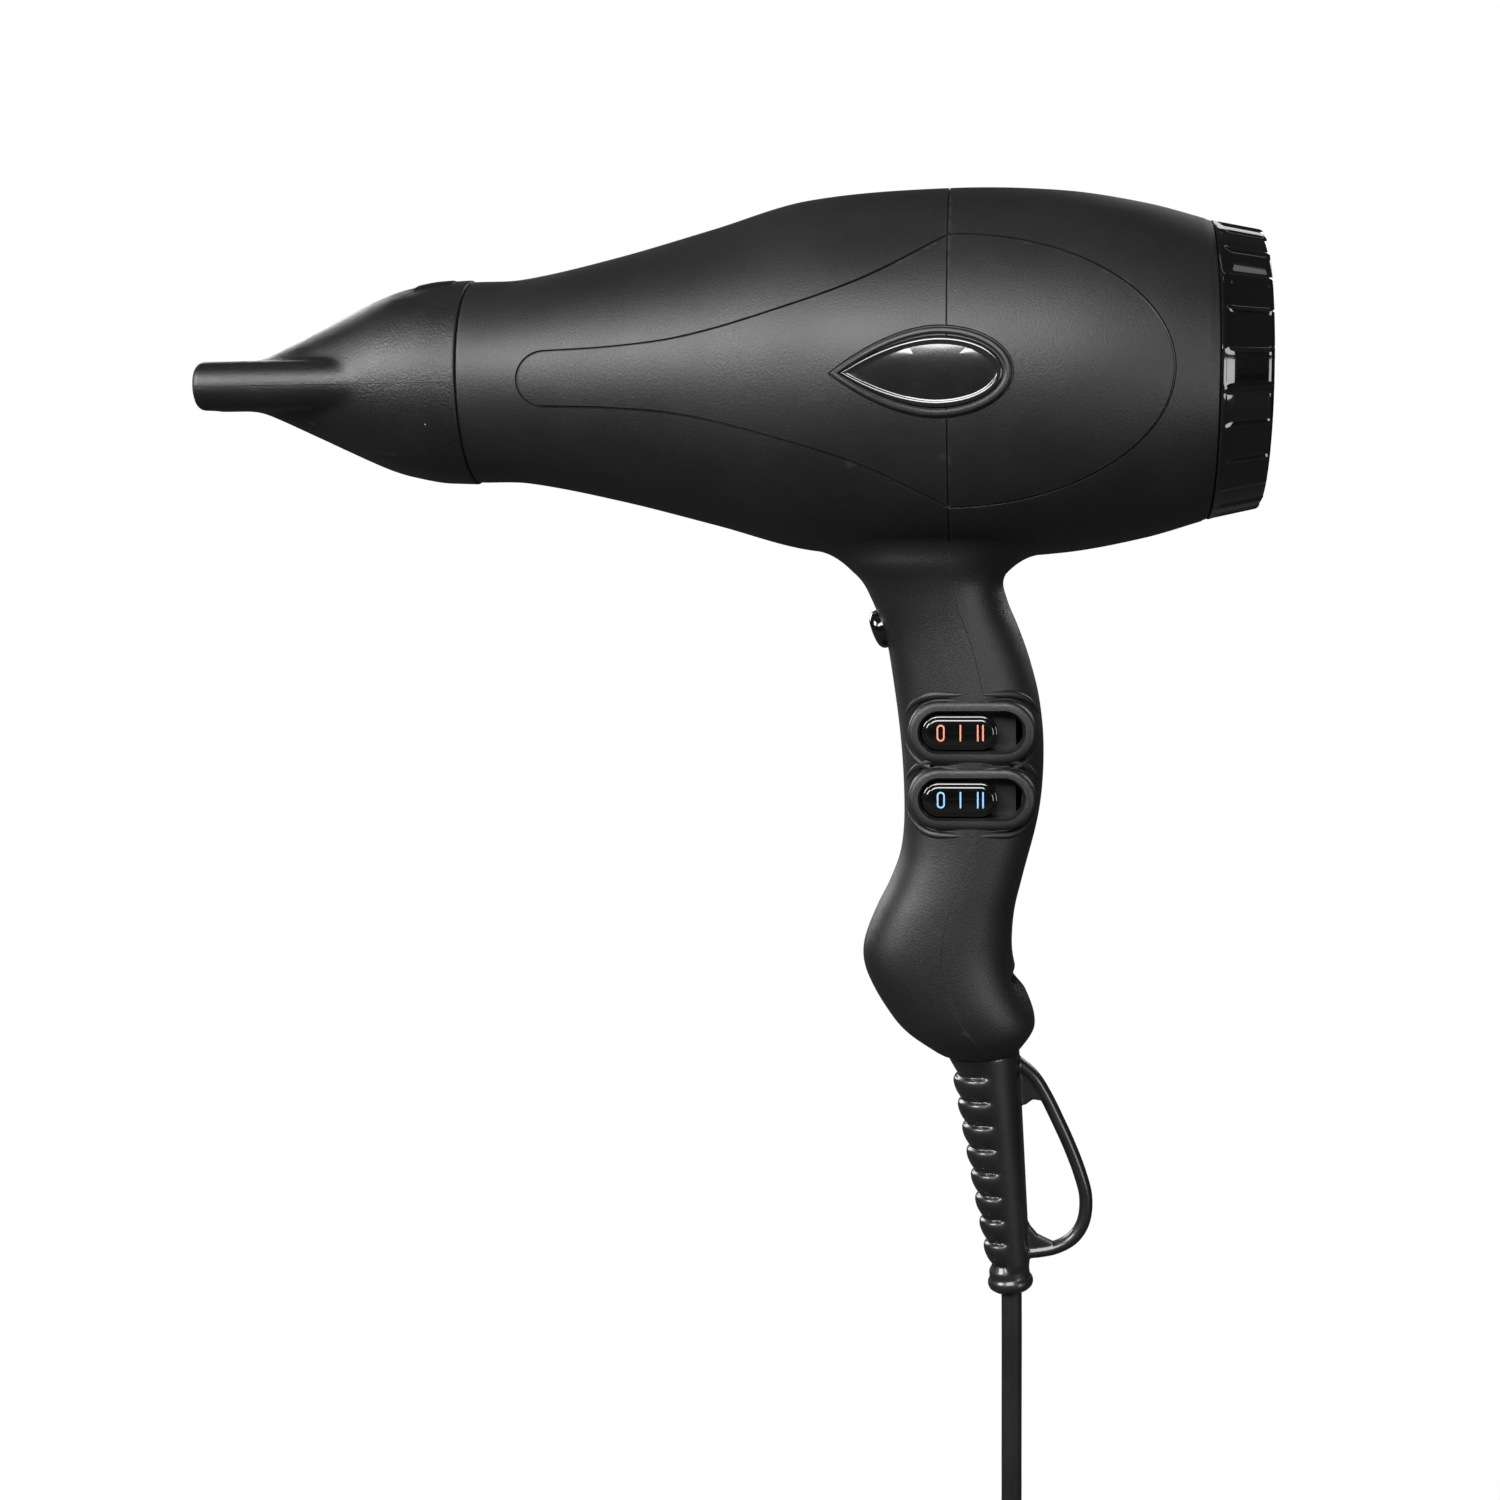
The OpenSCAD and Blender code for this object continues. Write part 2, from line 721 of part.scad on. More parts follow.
module motor_bearings() {
    color([0.75, 0.76, 0.78])
        on_axis() {
            for (x = [motor_start + plate_t - bearing_t, motor_end - plate_t])
                tube_x(x, x + bearing_t, shaft_r + shaft_run, bearing_r, 48);
        }
}
module impeller() {
    tip_r = duct_bore - tip_gap;
    core_r = motor_r - 1.5;
    blade_pitch = 38;
    color([0.1, 0.1, 0.11])
        on_axis()
            difference() {
                union() {
                    spun([
                        [0, fan_start], [core_r, fan_start], [core_r, fan_end - 6],
                        [core_r - 2, fan_end - 2.5], [core_r - 6, fan_end - 0.5], [0, fan_end]
                    ]);
                    intersection() {
                        for (i = [0 : blades - 1])
                            rotate([i * 360 / blades, 0, 0])
                                translate([(fan_start + fan_end) / 2, 0, core_r - 1])
                                    rotate([0, 0, blade_pitch])
                                        translate([-impeller_len / 2, -0.8, 0])
                                            cube([impeller_len, 1.6, tip_r]);
                        tube_x(fan_start, fan_end, core_r - 2, tip_r);
                    }
                }
                spun([
                    [0, fan_start - 1], [shaft_r, fan_start - 1], [shaft_r, shaft_end], [0, shaft_end]
                ], 48);
                tube_x(fan_start - 1, fan_start + 5, shaft_r + 3, core_r - 2);
            }
}
// Rear end: guard, filter and cap
module rear_grille() {
    grille_r = bore_of_barrel(grille_x + grille_t) - fit;
    color([0.12, 0.12, 0.13])
        on_axis()
            union() {
                tube_x(grille_x, grille_x + grille_t, duct_bore + 0.4, grille_r);
                rings_x(grille_x, grille_x + grille_t, [8, 14, 20, 26], 1.4);
                tube_x(grille_x, grille_x + grille_t, 0, 4);
                spokes_x(grille_x, grille_x + grille_t, 6, 3, duct_bore + 1, 1.6);
            }
}
seat_x = grille_x + grille_t;
neck_end = rear_len + 6;
seat_neck_r = cap_end_r - 0.9;
module filter_seat() {
    seat_r = tail_r - wall - fit;
    color([0.07, 0.07, 0.07])
        on_axis()
            spun([
                [seat_neck_r - 1.6, seat_x], [seat_r, seat_x], [seat_r, rear_len - 0.2],
                [seat_neck_r, rear_len - 0.2], [seat_neck_r, neck_end], [seat_neck_r - 1.6, neck_end]
            ], fine_fn);
}
mesh_x = neck_end + 0.6;
mesh_t = 0.8;
cap_end = rear_len + cap_len;
module filter_mesh() {
    color([0.45, 0.45, 0.46])
        on_axis()
            tube_x(mesh_x, mesh_x + mesh_t, 0, seat_neck_r, fine_fn);
}
groove_r = 1.5;
module filter_cap() {
    cap_bore = seat_neck_r + run;
    face_x = mesh_x + mesh_t;
    lean = atan((tail_r - cap_end_r) / cap_len);
    color([0.03, 0.03, 0.035])
        on_axis()
            union() {
                difference() {
                    spun([
                        [cap_bore, rear_len + fit], [tail_r, rear_len + fit], [cap_end_r + 0.4, cap_end - 1],
                        [cap_end_r - 0.8, cap_end], [cap_end_r - 5, cap_end], [cap_end_r - 5, face_x],
                        [cap_bore, face_x]
                    ], fine_fn);
                    for (i = [0 : cap_grooves - 1])
                        rotate([(i + 0.5) * 360 / cap_grooves, 0, 0])
                            translate([rear_len + 1.2, 0, tail_r + groove_r - 0.7])
                                rotate([0, 90 + lean, 0])
                                    cylinder(r = groove_r, h = cap_len + 5, $fn = 24);
                }
                rings_x(face_x + 0.3, face_x + 2.3, [6, 12, 18, 24], 1.6);
                tube_x(face_x + 0.3, face_x + 2.3, 0, 3.5);
                spokes_x(face_x + 0.3, face_x + 2.3, 8, 2, cap_end_r - 4, 1.6);
            }
}
// Badges
module badge(sense) {
    color([0.01, 0.01, 0.012])
        on_axis()
            intersection() {
                side_shape(min(0, sense * (barrel_r + 5)), max(0, sense * (barrel_r + 5)))
                    polygon(badge_outline(0));
                difference() {
                    spun(barrel_profile(-badge_rise, -front_len / 2, rear_len - 1));
                    spun(barrel_profile(badge_depth - 0.1, -front_len / 2 - 1, rear_len - 0.5));
                }
            }
}
module left_badge() {
    badge(-1);
}
module right_badge() {
    badge(1);
}
// Slide switches
slider_top = pad_face + 0.5;
slider_t = 3;
stem_len = 5;
stem_h = 4;
stem_tip = pad_root - 1.6;
module slider(drop) {
    color([0.02, 0.02, 0.03])
        on_axis()
            translate([switch_x - slider_travel / 2, 0, -drop])
                union() {
                    side_shape(-slider_top, -slider_top + slider_t)
                        slot_shape(slider_len, slider_h);
                    translate([-stem_len / 2, -slider_top + slider_t - 0.5, -stem_h / 2])
                        cube([stem_len, slider_top - slider_t + 0.5 - stem_tip, stem_h]);
                }
}
module heat_slider() {
    slider(heat_drop);
}
module speed_slider() {
    slider(speed_drop);
}
board_face = 3.2;
switch_body_len = 22;
switch_body_h = 13;
module switch_body(drop) {
    pocket_len = stem_len + slider_travel + 2 * run;
    pocket_h = stem_h + 2 * run;
    color([0.15, 0.15, 0.16])
        on_axis()
            translate([switch_x, 0, -drop])
                difference() {
                    translate([-switch_body_len / 2, -pad_root, -switch_body_h / 2])
                        cube([switch_body_len, pad_root - board_face, switch_body_h]);
                    translate([-pocket_len / 2, -pad_root - 1, -pocket_h / 2])
                        cube([pocket_len, pad_root + 1 - stem_tip + run, pocket_h]);
                }
}
module heat_switch() {
    switch_body(heat_drop);
}
module speed_switch() {
    switch_body(speed_drop);
}
board_t = 1.6;
board_top = barrel_r + 8;
board_end = speed_drop + 13;
module control_board() {
    color([0.1, 0.32, 0.16])
        on_axis()
            union() {
                translate([-6, -board_face, -board_end])
                    cube([16.5, board_t, board_end - board_top]);
                translate([-4, -board_face + board_t, -heat_drop - 6])
                    cube([9, 6, 12]);
                translate([6, -board_face + board_t, -speed_drop])
                    rotate([-90, 0, 0])
                        cylinder(r = 3.4, h = 8, $fn = small_fn);
            }
}
module ion_module() {
    color([0.08, 0.08, 0.1])
        on_axis()
            translate([shield_end - 34, -7, -shield_r - 12])
                cube([26, 14, 8]);
}
// Cool-shot button and its switch
button_out = 3;
button_flange = 3.6;
button_stem = 7.5;
module cool_button() {
    color([0.02, 0.02, 0.025])
        on_axis()
            at_button()
                rotate_extrude($fn = 48)
                    polygon([
                        [0, -button_out], [button_r - 1.6, -button_out], [button_r - 0.5, -button_out + 0.5],
                        [button_r, -button_out + 1.6], [button_r, button_flange],
                        [button_r + 1, button_flange], [button_r + 1, button_flange + 1],
                        [2, button_flange + 1], [2, button_stem], [0, button_stem]
                    ]);
}
module cool_switch() {
    color([0.13, 0.13, 0.14])
        on_axis()
            at_button()
                translate([-4.5, -board_face + board_t + 0.1, button_stem + button_travel + fit])
                    cube([9, 6.5, 5.5]);
}
// Fasteners and cord clamp
module handle_screw() {
    color([0.7, 0.71, 0.72])
        on_axis()
            translate([screw_seat, 0, -screw_drop])
                rotate([0, 90, 0])
                    difference() {
                        rotate_extrude($fn = small_fn)
                            polygon([
                                [0, -screw_len], [screw_r - 0.8, -screw_len], [screw_r, -screw_len + 1.5],
                                [screw_r, 0], [screw_head_r, 0], [screw_head_r, 1],
                                [screw_head_r - 1.2, 2], [0, 2]
                            ]);
                        for (turn = [0, 90])
                            rotate([0, 0, turn])
                                translate([-1.8, -0.35, 1])
                                    cube([3.6, 0.7, 2]);
                    }
}
inner_r = cord_d / 2;
cord_x = clamp_face + fit + inner_r;
bar_t = 2.4;
bar_x = cord_x + inner_r + fit;
module cord_clamp() {
    color([0.13, 0.13, 0.13])
        on_axis()
            difference() {
                translate([clamp_face, -9, -clamp_drop - 2.5])
                    cube([bar_x + bar_t - clamp_face, 18, 5]);
                translate([clamp_face - 1, -inner_r - fit, -clamp_drop - 3])
                    cube([bar_x - clamp_face + 1, 2 * (inner_r + fit), 6]);
                for (y = [-clamp_reach, clamp_reach])
                    translate([clamp_face - 1, y, -clamp_drop])
                        rotate([0, 90, 0])
                            cylinder(r = clamp_screw_r + fit, h = 20, $fn = small_fn);
            }
}
module clamp_screws() {
    color([0.7, 0.71, 0.72])
        on_axis()
            for (y = [-clamp_reach, clamp_reach])
                translate([bar_x + bar_t, y, -clamp_drop])
                    rotate([0, 90, 0])
                        rotate_extrude($fn = small_fn)
                            polygon([
                                [0, -14], [clamp_screw_r, -13], [clamp_screw_r, 0], [2, 0], [2, 0.8],
                                [1.4, 1.5], [0, 1.5]
                            ]);
}
// Cord inside the handle, from the strain relief to the clamp
inner_route = [
    [relief_x - 0.8, 0, -handle_len + neck_len], [relief_x - 1.3, 2.2, -handle_len + 11],
    [relief_x - 1.6, 6.5, -handle_len + 16], [cord_x, 8.4, -handle_len + 21],
    [cord_x, 8, -handle_len + 27], [cord_x, 5, -handle_len + 32],
    [cord_x, 1.4, -handle_len + 36], [cord_x, 0, -handle_len + 40], [cord_x, 0, -handle_len + 46]
];
module inner_cord() {
    color([0.04, 0.04, 0.04])
        on_axis()
            swept(inner_route, inner_r, 12);
}
module lead_wires() {
    color([0.2, 0.3, 0.6])
        on_axis()
            for (side = [-1, 1])
                swept([
                    [cord_x, side * 1.2, -handle_len + 46], [cord_x, side * 1.6, -handle_len + 50],
                    [cord_x - 2, 0.6 + side * 1.7, -board_end - 2],
                    [cord_x - 2, 0.6 + side * 1.7, -board_end + 4]
                ], 1, 8);
}
module wire_loom() {
    color([0.6, 0.1, 0.1])
        on_axis()
            swept([
                [5, 1, -board_top - 4], [5, 1, -board_top + 2], [4, 1, -barrel_r + 2],
                [2, 1, -duct_r - 6], [2, 1, -duct_r - 2.2]
            ], 2, 8);
}
// Strain relief with its hanging loop
rib_start = 5;
rib_depth = 1.5;
function relief_radius(s) = relief_r + (relief_end_r - relief_r) * s / relief_len;
rib_pitch = (relief_len - 13) / relief_ribs;
rib_steps = 6;
function rib_profile() = [for (i = [0 : relief_ribs * rib_steps])
    let (s = rib_start + i * rib_pitch / rib_steps, swell = abs(sin(180 * i / rib_steps)))
    [relief_radius(s) - rib_depth * (1 - pow(swell, 0.7)), -s]];
// Middle line of the loop: distance behind the relief's top, then depth below the handle
loop_line = [
    [8, 2], [12.6, 6], [15.8, 11], [19.2, 18], [22.3, 25], [24.9, 32], [26.5, 38.5], [26, 45],
    [23.4, 49.6], [19, 52.4], [14, 53.6], [9.5, 54]
];
loop_half = 1.75;
function loop_side(sense) = [for (i = [0 : len(loop_line) - 1])
    let (ahead = unit(loop_line[min(i + 1, len(loop_line) - 1)] - loop_line[max(i - 1, 0)]))
    [
        relief_x + loop_line[i][0] + sense * loop_half * ahead[1],
        -handle_len - loop_line[i][1] + sense * loop_half * ahead[0]
    ]];
module strain_relief() {
    color([0.03, 0.03, 0.035])
        on_axis()
            union() {
                at_relief()
                    rotate_extrude($fn = 48)
                        polygon(concat(
                            [
                                [0, neck_len], [neck_r + 1.6, neck_len], [neck_r + 1.6, floor_t + 1.6],
                                [neck_r, floor_t + 1.6], [neck_r, -0.8], [relief_r - 0.3, -0.8]
                            ],
                            rib_profile(),
                            [
                                [relief_radius(relief_len - 4), -relief_len + 4],
                                [relief_end_r + 0.8, -relief_len + 2.6],
                                [relief_end_r + 0.8, -relief_len + 1.6], [relief_end_r - 1.2, -relief_len],
                                [0, -relief_len]
                            ]
                        ));
                at_relief()
                    translate([1.3, 0, -relief_len + 4])
                        cylinder(r1 = relief_end_r - 0.9, r2 = relief_r - 0.8, h = relief_len - 5, $fn = 48);
                side_shape(-loop_t / 2, loop_t / 2)
                    polygon(concat(
                        loop_side(1), [for (i = [len(loop_line) - 1 : -1 : 0]) loop_side(-1)[i]]
                    ));
            }
}
// Cord, coil and plug, which hang and lie below the dryer
cord_r = cord_d / 2;
relief_tip = [
    relief_x + relief_len * sin(relief_lean), 0, -handle_len - relief_len * cos(relief_lean)
];
ground = -350;
coil_x = 15.6;
coil_y = -40;
lead_route = [
    relief_tip, [15.6, 0, -250], [15.6, 0, -262], [15.6, 0, -274], [15.6, 0, -286], [15.6, 0, -298],
    [15.3, 0, -307], [14, -0.1, -314], [11.3, -0.3, -320.5], [7.2, -0.9, -325.8], [2.2, -2.2, -329],
    [-3, -4.4, -330.6], [-8.4, -7.8, -331]
];
module cord_lead() {
    color([0.04, 0.04, 0.04])
        on_axis()
            swept(lead_route, cord_r, 12);
}
coil_inner = coil_mid_r - coil_w / 2;
coil_outer = coil_mid_r + coil_w / 2;
module cord_coil() {
    color([0.04, 0.04, 0.04])
        on_axis()
            translate([coil_x, coil_y, ground])
                rotate_extrude($fn = round_fn)
                    translate([coil_inner, 0])
                        square([coil_w, coil_h]);
}
plug_z = ground + plug_t / 2;
tail_y = 0.2;
tail_end = -24;
tail_route = [
    [2, tail_y, ground + cord_r], [-3, tail_y, ground + cord_r + 0.2], [-8, tail_y, ground + cord_r + 1],
    [-13, tail_y, ground + cord_r + 2.5], [-18, tail_y, plug_z - 1], [-21, tail_y, plug_z - 0.2],
    [tail_end, tail_y, plug_z]
];
module cord_tail() {
    color([0.04, 0.04, 0.04])
        on_axis()
            swept(tail_route, cord_r, 12);
}
tie_t = 0.8;
tie_w = 6;
module coil_ties() {
    color([0.06, 0.06, 0.06])
        on_axis()
            for (turn = [0, 180])
                translate([coil_x, coil_y, ground])
                    rotate([0, 0, turn])
                        difference() {
                            translate([coil_inner - fit - tie_t, -tie_w / 2, -tie_t])
                                cube([coil_w + 2 * (fit + tie_t), tie_w, coil_h + 2 * tie_t + fit]);
                            translate([coil_inner - fit, -tie_w / 2 - 1, 0])
                                cube([coil_w + 2 * fit, tie_w + 2, coil_h + fit]);
                            translate([0, 0, -0.001])
                                tie_clearance();
                        }
}
// Room for the round coil where a straight tie would cut into it
module tie_clearance() {
    difference() {
        cylinder(r = coil_outer + 0.05, h = coil_h + 0.01, $fn = round_fn);
        translate([0, 0, -1])
            cylinder(r = coil_inner - 0.05, h = coil_h + 2, $fn = round_fn);
    }
}
plug_back = tail_end - 18;
plug_front = plug_back - 24;
module plug_body() {
    color([0.04, 0.04, 0.045])
        on_axis()
            translate([0, tail_y, plug_z])
                union() {
                    spun([[0, tail_end], [3.6, tail_end], [5.6, plug_back - 1], [0, plug_back - 1]], 48);
                    translate([plug_back, 0, 0])
                        rotate([0, -90, 0])
                            linear_extrude(plug_back - plug_front)
                                rotate(90)
                                    slot_shape(plug_w, plug_t, 48);
                }
}
pin_root = 4;
module plug_pins() {
    color([0.8, 0.8, 0.82])
        on_axis()
            for (side = [-1, 1])
                translate([plug_front, tail_y + side * pin_gap / 2, plug_z])
                    spun([
                        [0, -pin_len], [pin_r - 0.8, -pin_len], [pin_r, -pin_len + 1.2], [pin_r, 0], [0, 0]
                    ], 48);
}

front_shell();
rear_shell();
outlet_ring();
outlet_grille();
ion_needle();
nozzle();
heat_shield();
heater_frame();
heater_windings();
thermostat();
thermal_fuse();
air_guide();
motor_can();
stator_core();
stator_windings();
motor_magnet();
motor_shaft();
motor_bearings();
impeller();
rear_grille();
filter_seat();
filter_mesh();
filter_cap();
left_badge();
right_badge();
heat_slider();
speed_slider();
heat_switch();
speed_switch();
control_board();
ion_module();
cool_button();
cool_switch();
handle_screw();
cord_clamp();
clamp_screws();
inner_cord();
lead_wires();
wire_loom();
strain_relief();
cord_lead();
cord_coil();
cord_tail();
coil_ties();
plug_body();
plug_pins();
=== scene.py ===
# %% [markdown]
# # A hand-held hair dryer
# The engineering model already fixes every size, place and joint. This lesson dresses it: the plain
# solids are swapped for finely made skins, and every piece gets a finish built from shader nodes.
# Loading comes first, because the pieces below take their places from the loaded frame.

# %% Load the frame
from math import cos, floor, pi, radians, sin, sqrt
import bpy
import numpy as np
from mathutils import Matrix, Vector


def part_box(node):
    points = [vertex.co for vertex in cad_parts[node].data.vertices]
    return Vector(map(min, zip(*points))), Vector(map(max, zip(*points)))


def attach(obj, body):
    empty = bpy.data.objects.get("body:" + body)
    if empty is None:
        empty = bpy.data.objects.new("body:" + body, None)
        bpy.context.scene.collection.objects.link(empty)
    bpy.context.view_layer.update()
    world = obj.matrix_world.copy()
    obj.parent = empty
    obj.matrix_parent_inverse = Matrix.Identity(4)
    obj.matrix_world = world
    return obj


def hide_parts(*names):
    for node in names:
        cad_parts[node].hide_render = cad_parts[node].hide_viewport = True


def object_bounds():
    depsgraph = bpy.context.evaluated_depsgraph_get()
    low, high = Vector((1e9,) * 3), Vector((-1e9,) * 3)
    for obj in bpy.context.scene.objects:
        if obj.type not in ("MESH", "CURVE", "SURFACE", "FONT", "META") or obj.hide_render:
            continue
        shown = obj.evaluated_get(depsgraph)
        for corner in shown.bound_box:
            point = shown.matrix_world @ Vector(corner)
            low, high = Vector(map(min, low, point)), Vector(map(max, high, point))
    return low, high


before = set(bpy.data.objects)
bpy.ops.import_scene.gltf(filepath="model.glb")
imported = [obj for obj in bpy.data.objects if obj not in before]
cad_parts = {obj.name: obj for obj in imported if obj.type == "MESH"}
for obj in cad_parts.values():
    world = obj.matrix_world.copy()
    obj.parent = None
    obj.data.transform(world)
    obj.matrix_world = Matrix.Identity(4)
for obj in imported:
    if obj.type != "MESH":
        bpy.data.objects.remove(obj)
cad_low, cad_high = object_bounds()

# %% [markdown]
# ## Units and the air path's axis
# The dryer is drawn in millimetres around the middle line of its barrel, because a barrel is round and
# most of its pieces are turned. Two boxes of the frame say where that line and the casing's seam lie.

# %% Where the barrel's axis and seam are
MM = 0.001
FRONT_LEN, REAR_LEN = 121, 63.5
ring_low, ring_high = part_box("outlet_ring")
AXIS_Z = (ring_low.z + ring_high.z) / 2
SEAM_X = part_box("front_shell")[0].x + FRONT_LEN * MM
GROUND = (cad_low.z - AXIS_Z) / MM


def to_frame(points):
    """Points in millimetres about the axis, as points in metres in the frame."""
    return np.asarray(points, float).reshape(-1, 3) * MM + [SEAM_X, 0, AXIS_Z]


print(f"axis at z {AXIS_Z:.3f} m, seam at x {SEAM_X:.3f} m, ground {GROUND:.1f} mm under the axis")

# %% [markdown]
# ## Camera
# A product shot uses a slightly long lens from a little above the middle. The camera is set from where
# it stands, what it looks at and a slight roll, so its matrix is built from three directions: right,
# up and back.

# %% Camera
CAMERA_AT = Vector((0.009, -0.598, 0.068))
CAMERA_LOOKS_AT = Vector((-0.056, 0, -0.015))
CAMERA_ROLL = radians(0.8)
LENS, SENSOR = 56.26, 36
ahead = (CAMERA_LOOKS_AT - CAMERA_AT).normalized()
level = ahead.cross(Vector((0, 0, 1))).normalized()
upright = level.cross(ahead)
right = level * cos(CAMERA_ROLL) + ahead.cross(level) * sin(CAMERA_ROLL)
up = upright * cos(CAMERA_ROLL) + ahead.cross(upright) * sin(CAMERA_ROLL)
lens = bpy.data.cameras.new("camera")
lens.lens, lens.sensor_width = LENS, SENSOR
camera = bpy.data.objects.new("camera", lens)
camera.matrix_world = Matrix((
    (right.x, up.x, -ahead.x, CAMERA_AT.x),
    (right.y, up.y, -ahead.y, CAMERA_AT.y),
    (right.z, up.z, -ahead.z, CAMERA_AT.z),
    (0, 0, 0, 1),
))
bpy.context.scene.collection.objects.link(camera)
bpy.context.scene.camera = camera
print("camera:", lens.lens, "mm lens")

# %% [markdown]
# ## Helpers that make meshes
# Nearly every piece here is a stack of rings: circles along an axle, outlines that shrink towards a
# middle, or small circles carried along a path. One function joins rings into a closed skin, turns it
# the right way out and makes the object, and the others only work out where the rings go.


# %% Rings into solids
def new_object(name, data):
    made = bpy.data.objects.new(name, data)
    bpy.context.scene.collection.objects.link(made)
    return made


def ring_faces(count, around, looped):
    """Quads between neighbouring rings of points."""
    i = np.arange(count if looped else count - 1)[:, None]
    j = np.arange(around)[None, :]
    here, there, turn = i * around, (i + 1) % count * around, (j + 1) % around
    return np.stack([here + j, here + turn, there + turn, there + j], axis=-1).reshape(-1, 4)


def solid(name, rings, looped=False):
    """A closed object from rings of points, in millimetres; its ends are closed unless the rings loop."""
    rings = np.asarray(rings, float)
    count, around = rings.shape[:2]
    points = rings.reshape(-1, 3)
    quads = ring_faces(count, around, looped)
    a, b, c, d = (points[quads[:, k]] for k in range(4))
    volume = (np.cross(a, b) * c).sum() + (np.cross(a, c) * d).sum()
    faces = quads.tolist()
    if not looped:
        points = np.vstack([points, rings[0].mean(0), rings[-1].mean(0)])
        first, last, end = len(points) - 2, len(points) - 1, (count - 1) * around
        for j in range(around):
            faces.append([first, (j + 1) % around, j])
            faces.append([last, end + j, end + (j + 1) % around])
        for f in faces[-2 * around:]:
            volume += float(np.cross(points[f[0]], points[f[1]]) @ points[f[2]])
    if volume < 0:
        faces = [f[::-1] for f in faces]
    mesh = bpy.data.meshes.new(name)
    mesh.from_pydata(to_frame(points).tolist(), [], faces)
    mesh.update()
    return new_object(name, mesh)


def circle(around):
    turn = np.arange(around) * 2 * pi / around
    return np.stack([np.cos(turn), np.sin(turn)], axis=1)


def turned(name, profile, around=96, looped=False):
    """A body of revolution about the axis, from (place along it, radius) pairs."""
    ring = circle(around)
    rings = [np.column_stack([np.full(around, x), r * ring[:, 0], r * ring[:, 1]]) for x, r in profile]
    return solid(name, rings, looped)


def unit(v):
    return v / np.maximum(np.linalg.norm(v, axis=-1, keepdims=True), 1e-12)


def tube(name, path, radius, closed=False, sides=10, outward=None, flat=1.0):
    """A round or flattened bar along a path; outward and radius may change from point to point."""
    path = np.asarray(path, float)
    if closed:
        heading = np.roll(path, -1, 0) - np.roll(path, 1, 0)
    else:
        heading = np.gradient(path, axis=0)
    heading = unit(heading)
    if outward is None:
        outward = np.where(np.abs(heading[:, 1:2]) < 0.9, [[0, 1, 0]], [[1, 0, 0]])
    across = unit(np.cross(heading, outward))
    rise = np.cross(across, heading)
    ring = circle(sides)[None] * np.broadcast_to(radius, len(path))[:, None, None]
    rings = path[:, None] + ring[:, :, :1] * across[:, None] + flat * ring[:, :, 1:] * rise[:, None]
    return solid(name, rings, closed)


print("helpers ready: solid, turned, tube")

# %% [markdown]
# ## Helpers that join and cut
# Casings are easiest to make as a plain body that is then cut. The Boolean modifier does that, and its
# Manifold solver is quick and exact on closed meshes, so each cut is applied at once and the cutter
# is thrown away.


# %% Boolean steps
def applied(piece):
    """The piece with its modifiers made real."""
    graph = bpy.context.evaluated_depsgraph_get()
    mesh = bpy.data.meshes.new_from_object(piece.evaluated_get(graph))
    piece.modifiers.clear()
    piece.data = mesh
    return piece


def combine(piece, others, operation):
    for other in others:
        step = piece.modifiers.new("combine", "BOOLEAN")
        step.operation, step.solver, step.object = operation, "MANIFOLD", other
        applied(piece)
        bpy.data.objects.remove(other)
    return piece


def cut(piece, *cutters):
    return combine(piece, cutters, "DIFFERENCE")


def add(piece, *others):
    return combine(piece, others, "UNION")


def twin(piece):
    return new_object(piece.name + "_twin", piece.data.copy())


def joined(name, objects):
    """Several meshes as one object, each keeping its own closed skin."""
    points, faces, start = [], [], 0
    for o in objects:
        points += [v.co[:] for v in o.data.vertices]
        faces += [[start + v for v in p.vertices] for p in o.data.polygons]
        start = len(points)
        bpy.data.objects.remove(o)
    mesh = bpy.data.meshes.new(name)
    mesh.from_pydata(points, [], faces)
    return new_object(name, mesh)


def finished(piece, body, slot, finish, *nodes, crease=35):
    """Shades a piece, gives it its finish, ties it to its body and hides the frame pieces it stands for."""
    piece.data.materials.clear()
    piece.data.materials.append(finish)
    piece.data.shade_smooth()
    piece.data.set_sharp_from_angle(angle=radians(crease))
    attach(piece, body)
    if nodes:
        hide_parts(*nodes)
    print(f"{piece.name}: {len(piece.data.polygons)} faces on {body}")
    return piece


print("helpers ready: cut, add, joined, finished")

# %% [markdown]
# ## Curves through points
# The side view of the dryer is all slow curves. Each is kept as a few points that its shape needs, and
# a cubic between neighbours (Hermite, with slopes from the points around) fills in the rest.


# %% Smooth lines
def along(line, at):
    """Value of a smooth line through (place, value) points, at one place or many."""
    line = np.asarray(line, float)
    place, value = line[:, 0], line[:, 1]
    before = np.maximum(np.arange(len(line)) - 1, 0)
    after = np.minimum(np.arange(len(line)) + 1, len(line) - 1)
    slope = (value[after] - value[before]) / (place[after] - place[before])
    i = np.clip(np.searchsorted(place, at) - 1, 0, len(line) - 2)
    w = place[i + 1] - place[i]
    t = (np.asarray(at, float) - place[i]) / w
    return (
        (2 * t**3 - 3 * t * t + 1) * value[i] + (t**3 - 2 * t * t + t) * w * slope[i]
        + (3 * t * t - 2 * t**3) * value[i + 1] + (t**3 - t * t) * w * slope[i + 1]
    )


def through(points, step):
    """A smooth path through points in space, with places about step apart."""
    points = np.asarray(points, float)
    far = np.concatenate([[0], np.cumsum(np.linalg.norm(np.diff(points, axis=0), axis=1))])
    at = np.linspace(0, far[-1], max(2, round(far[-1] / step)) + 1)
    return np.stack([along(np.column_stack([far, points[:, k]]), at) for k in range(3)], axis=1)


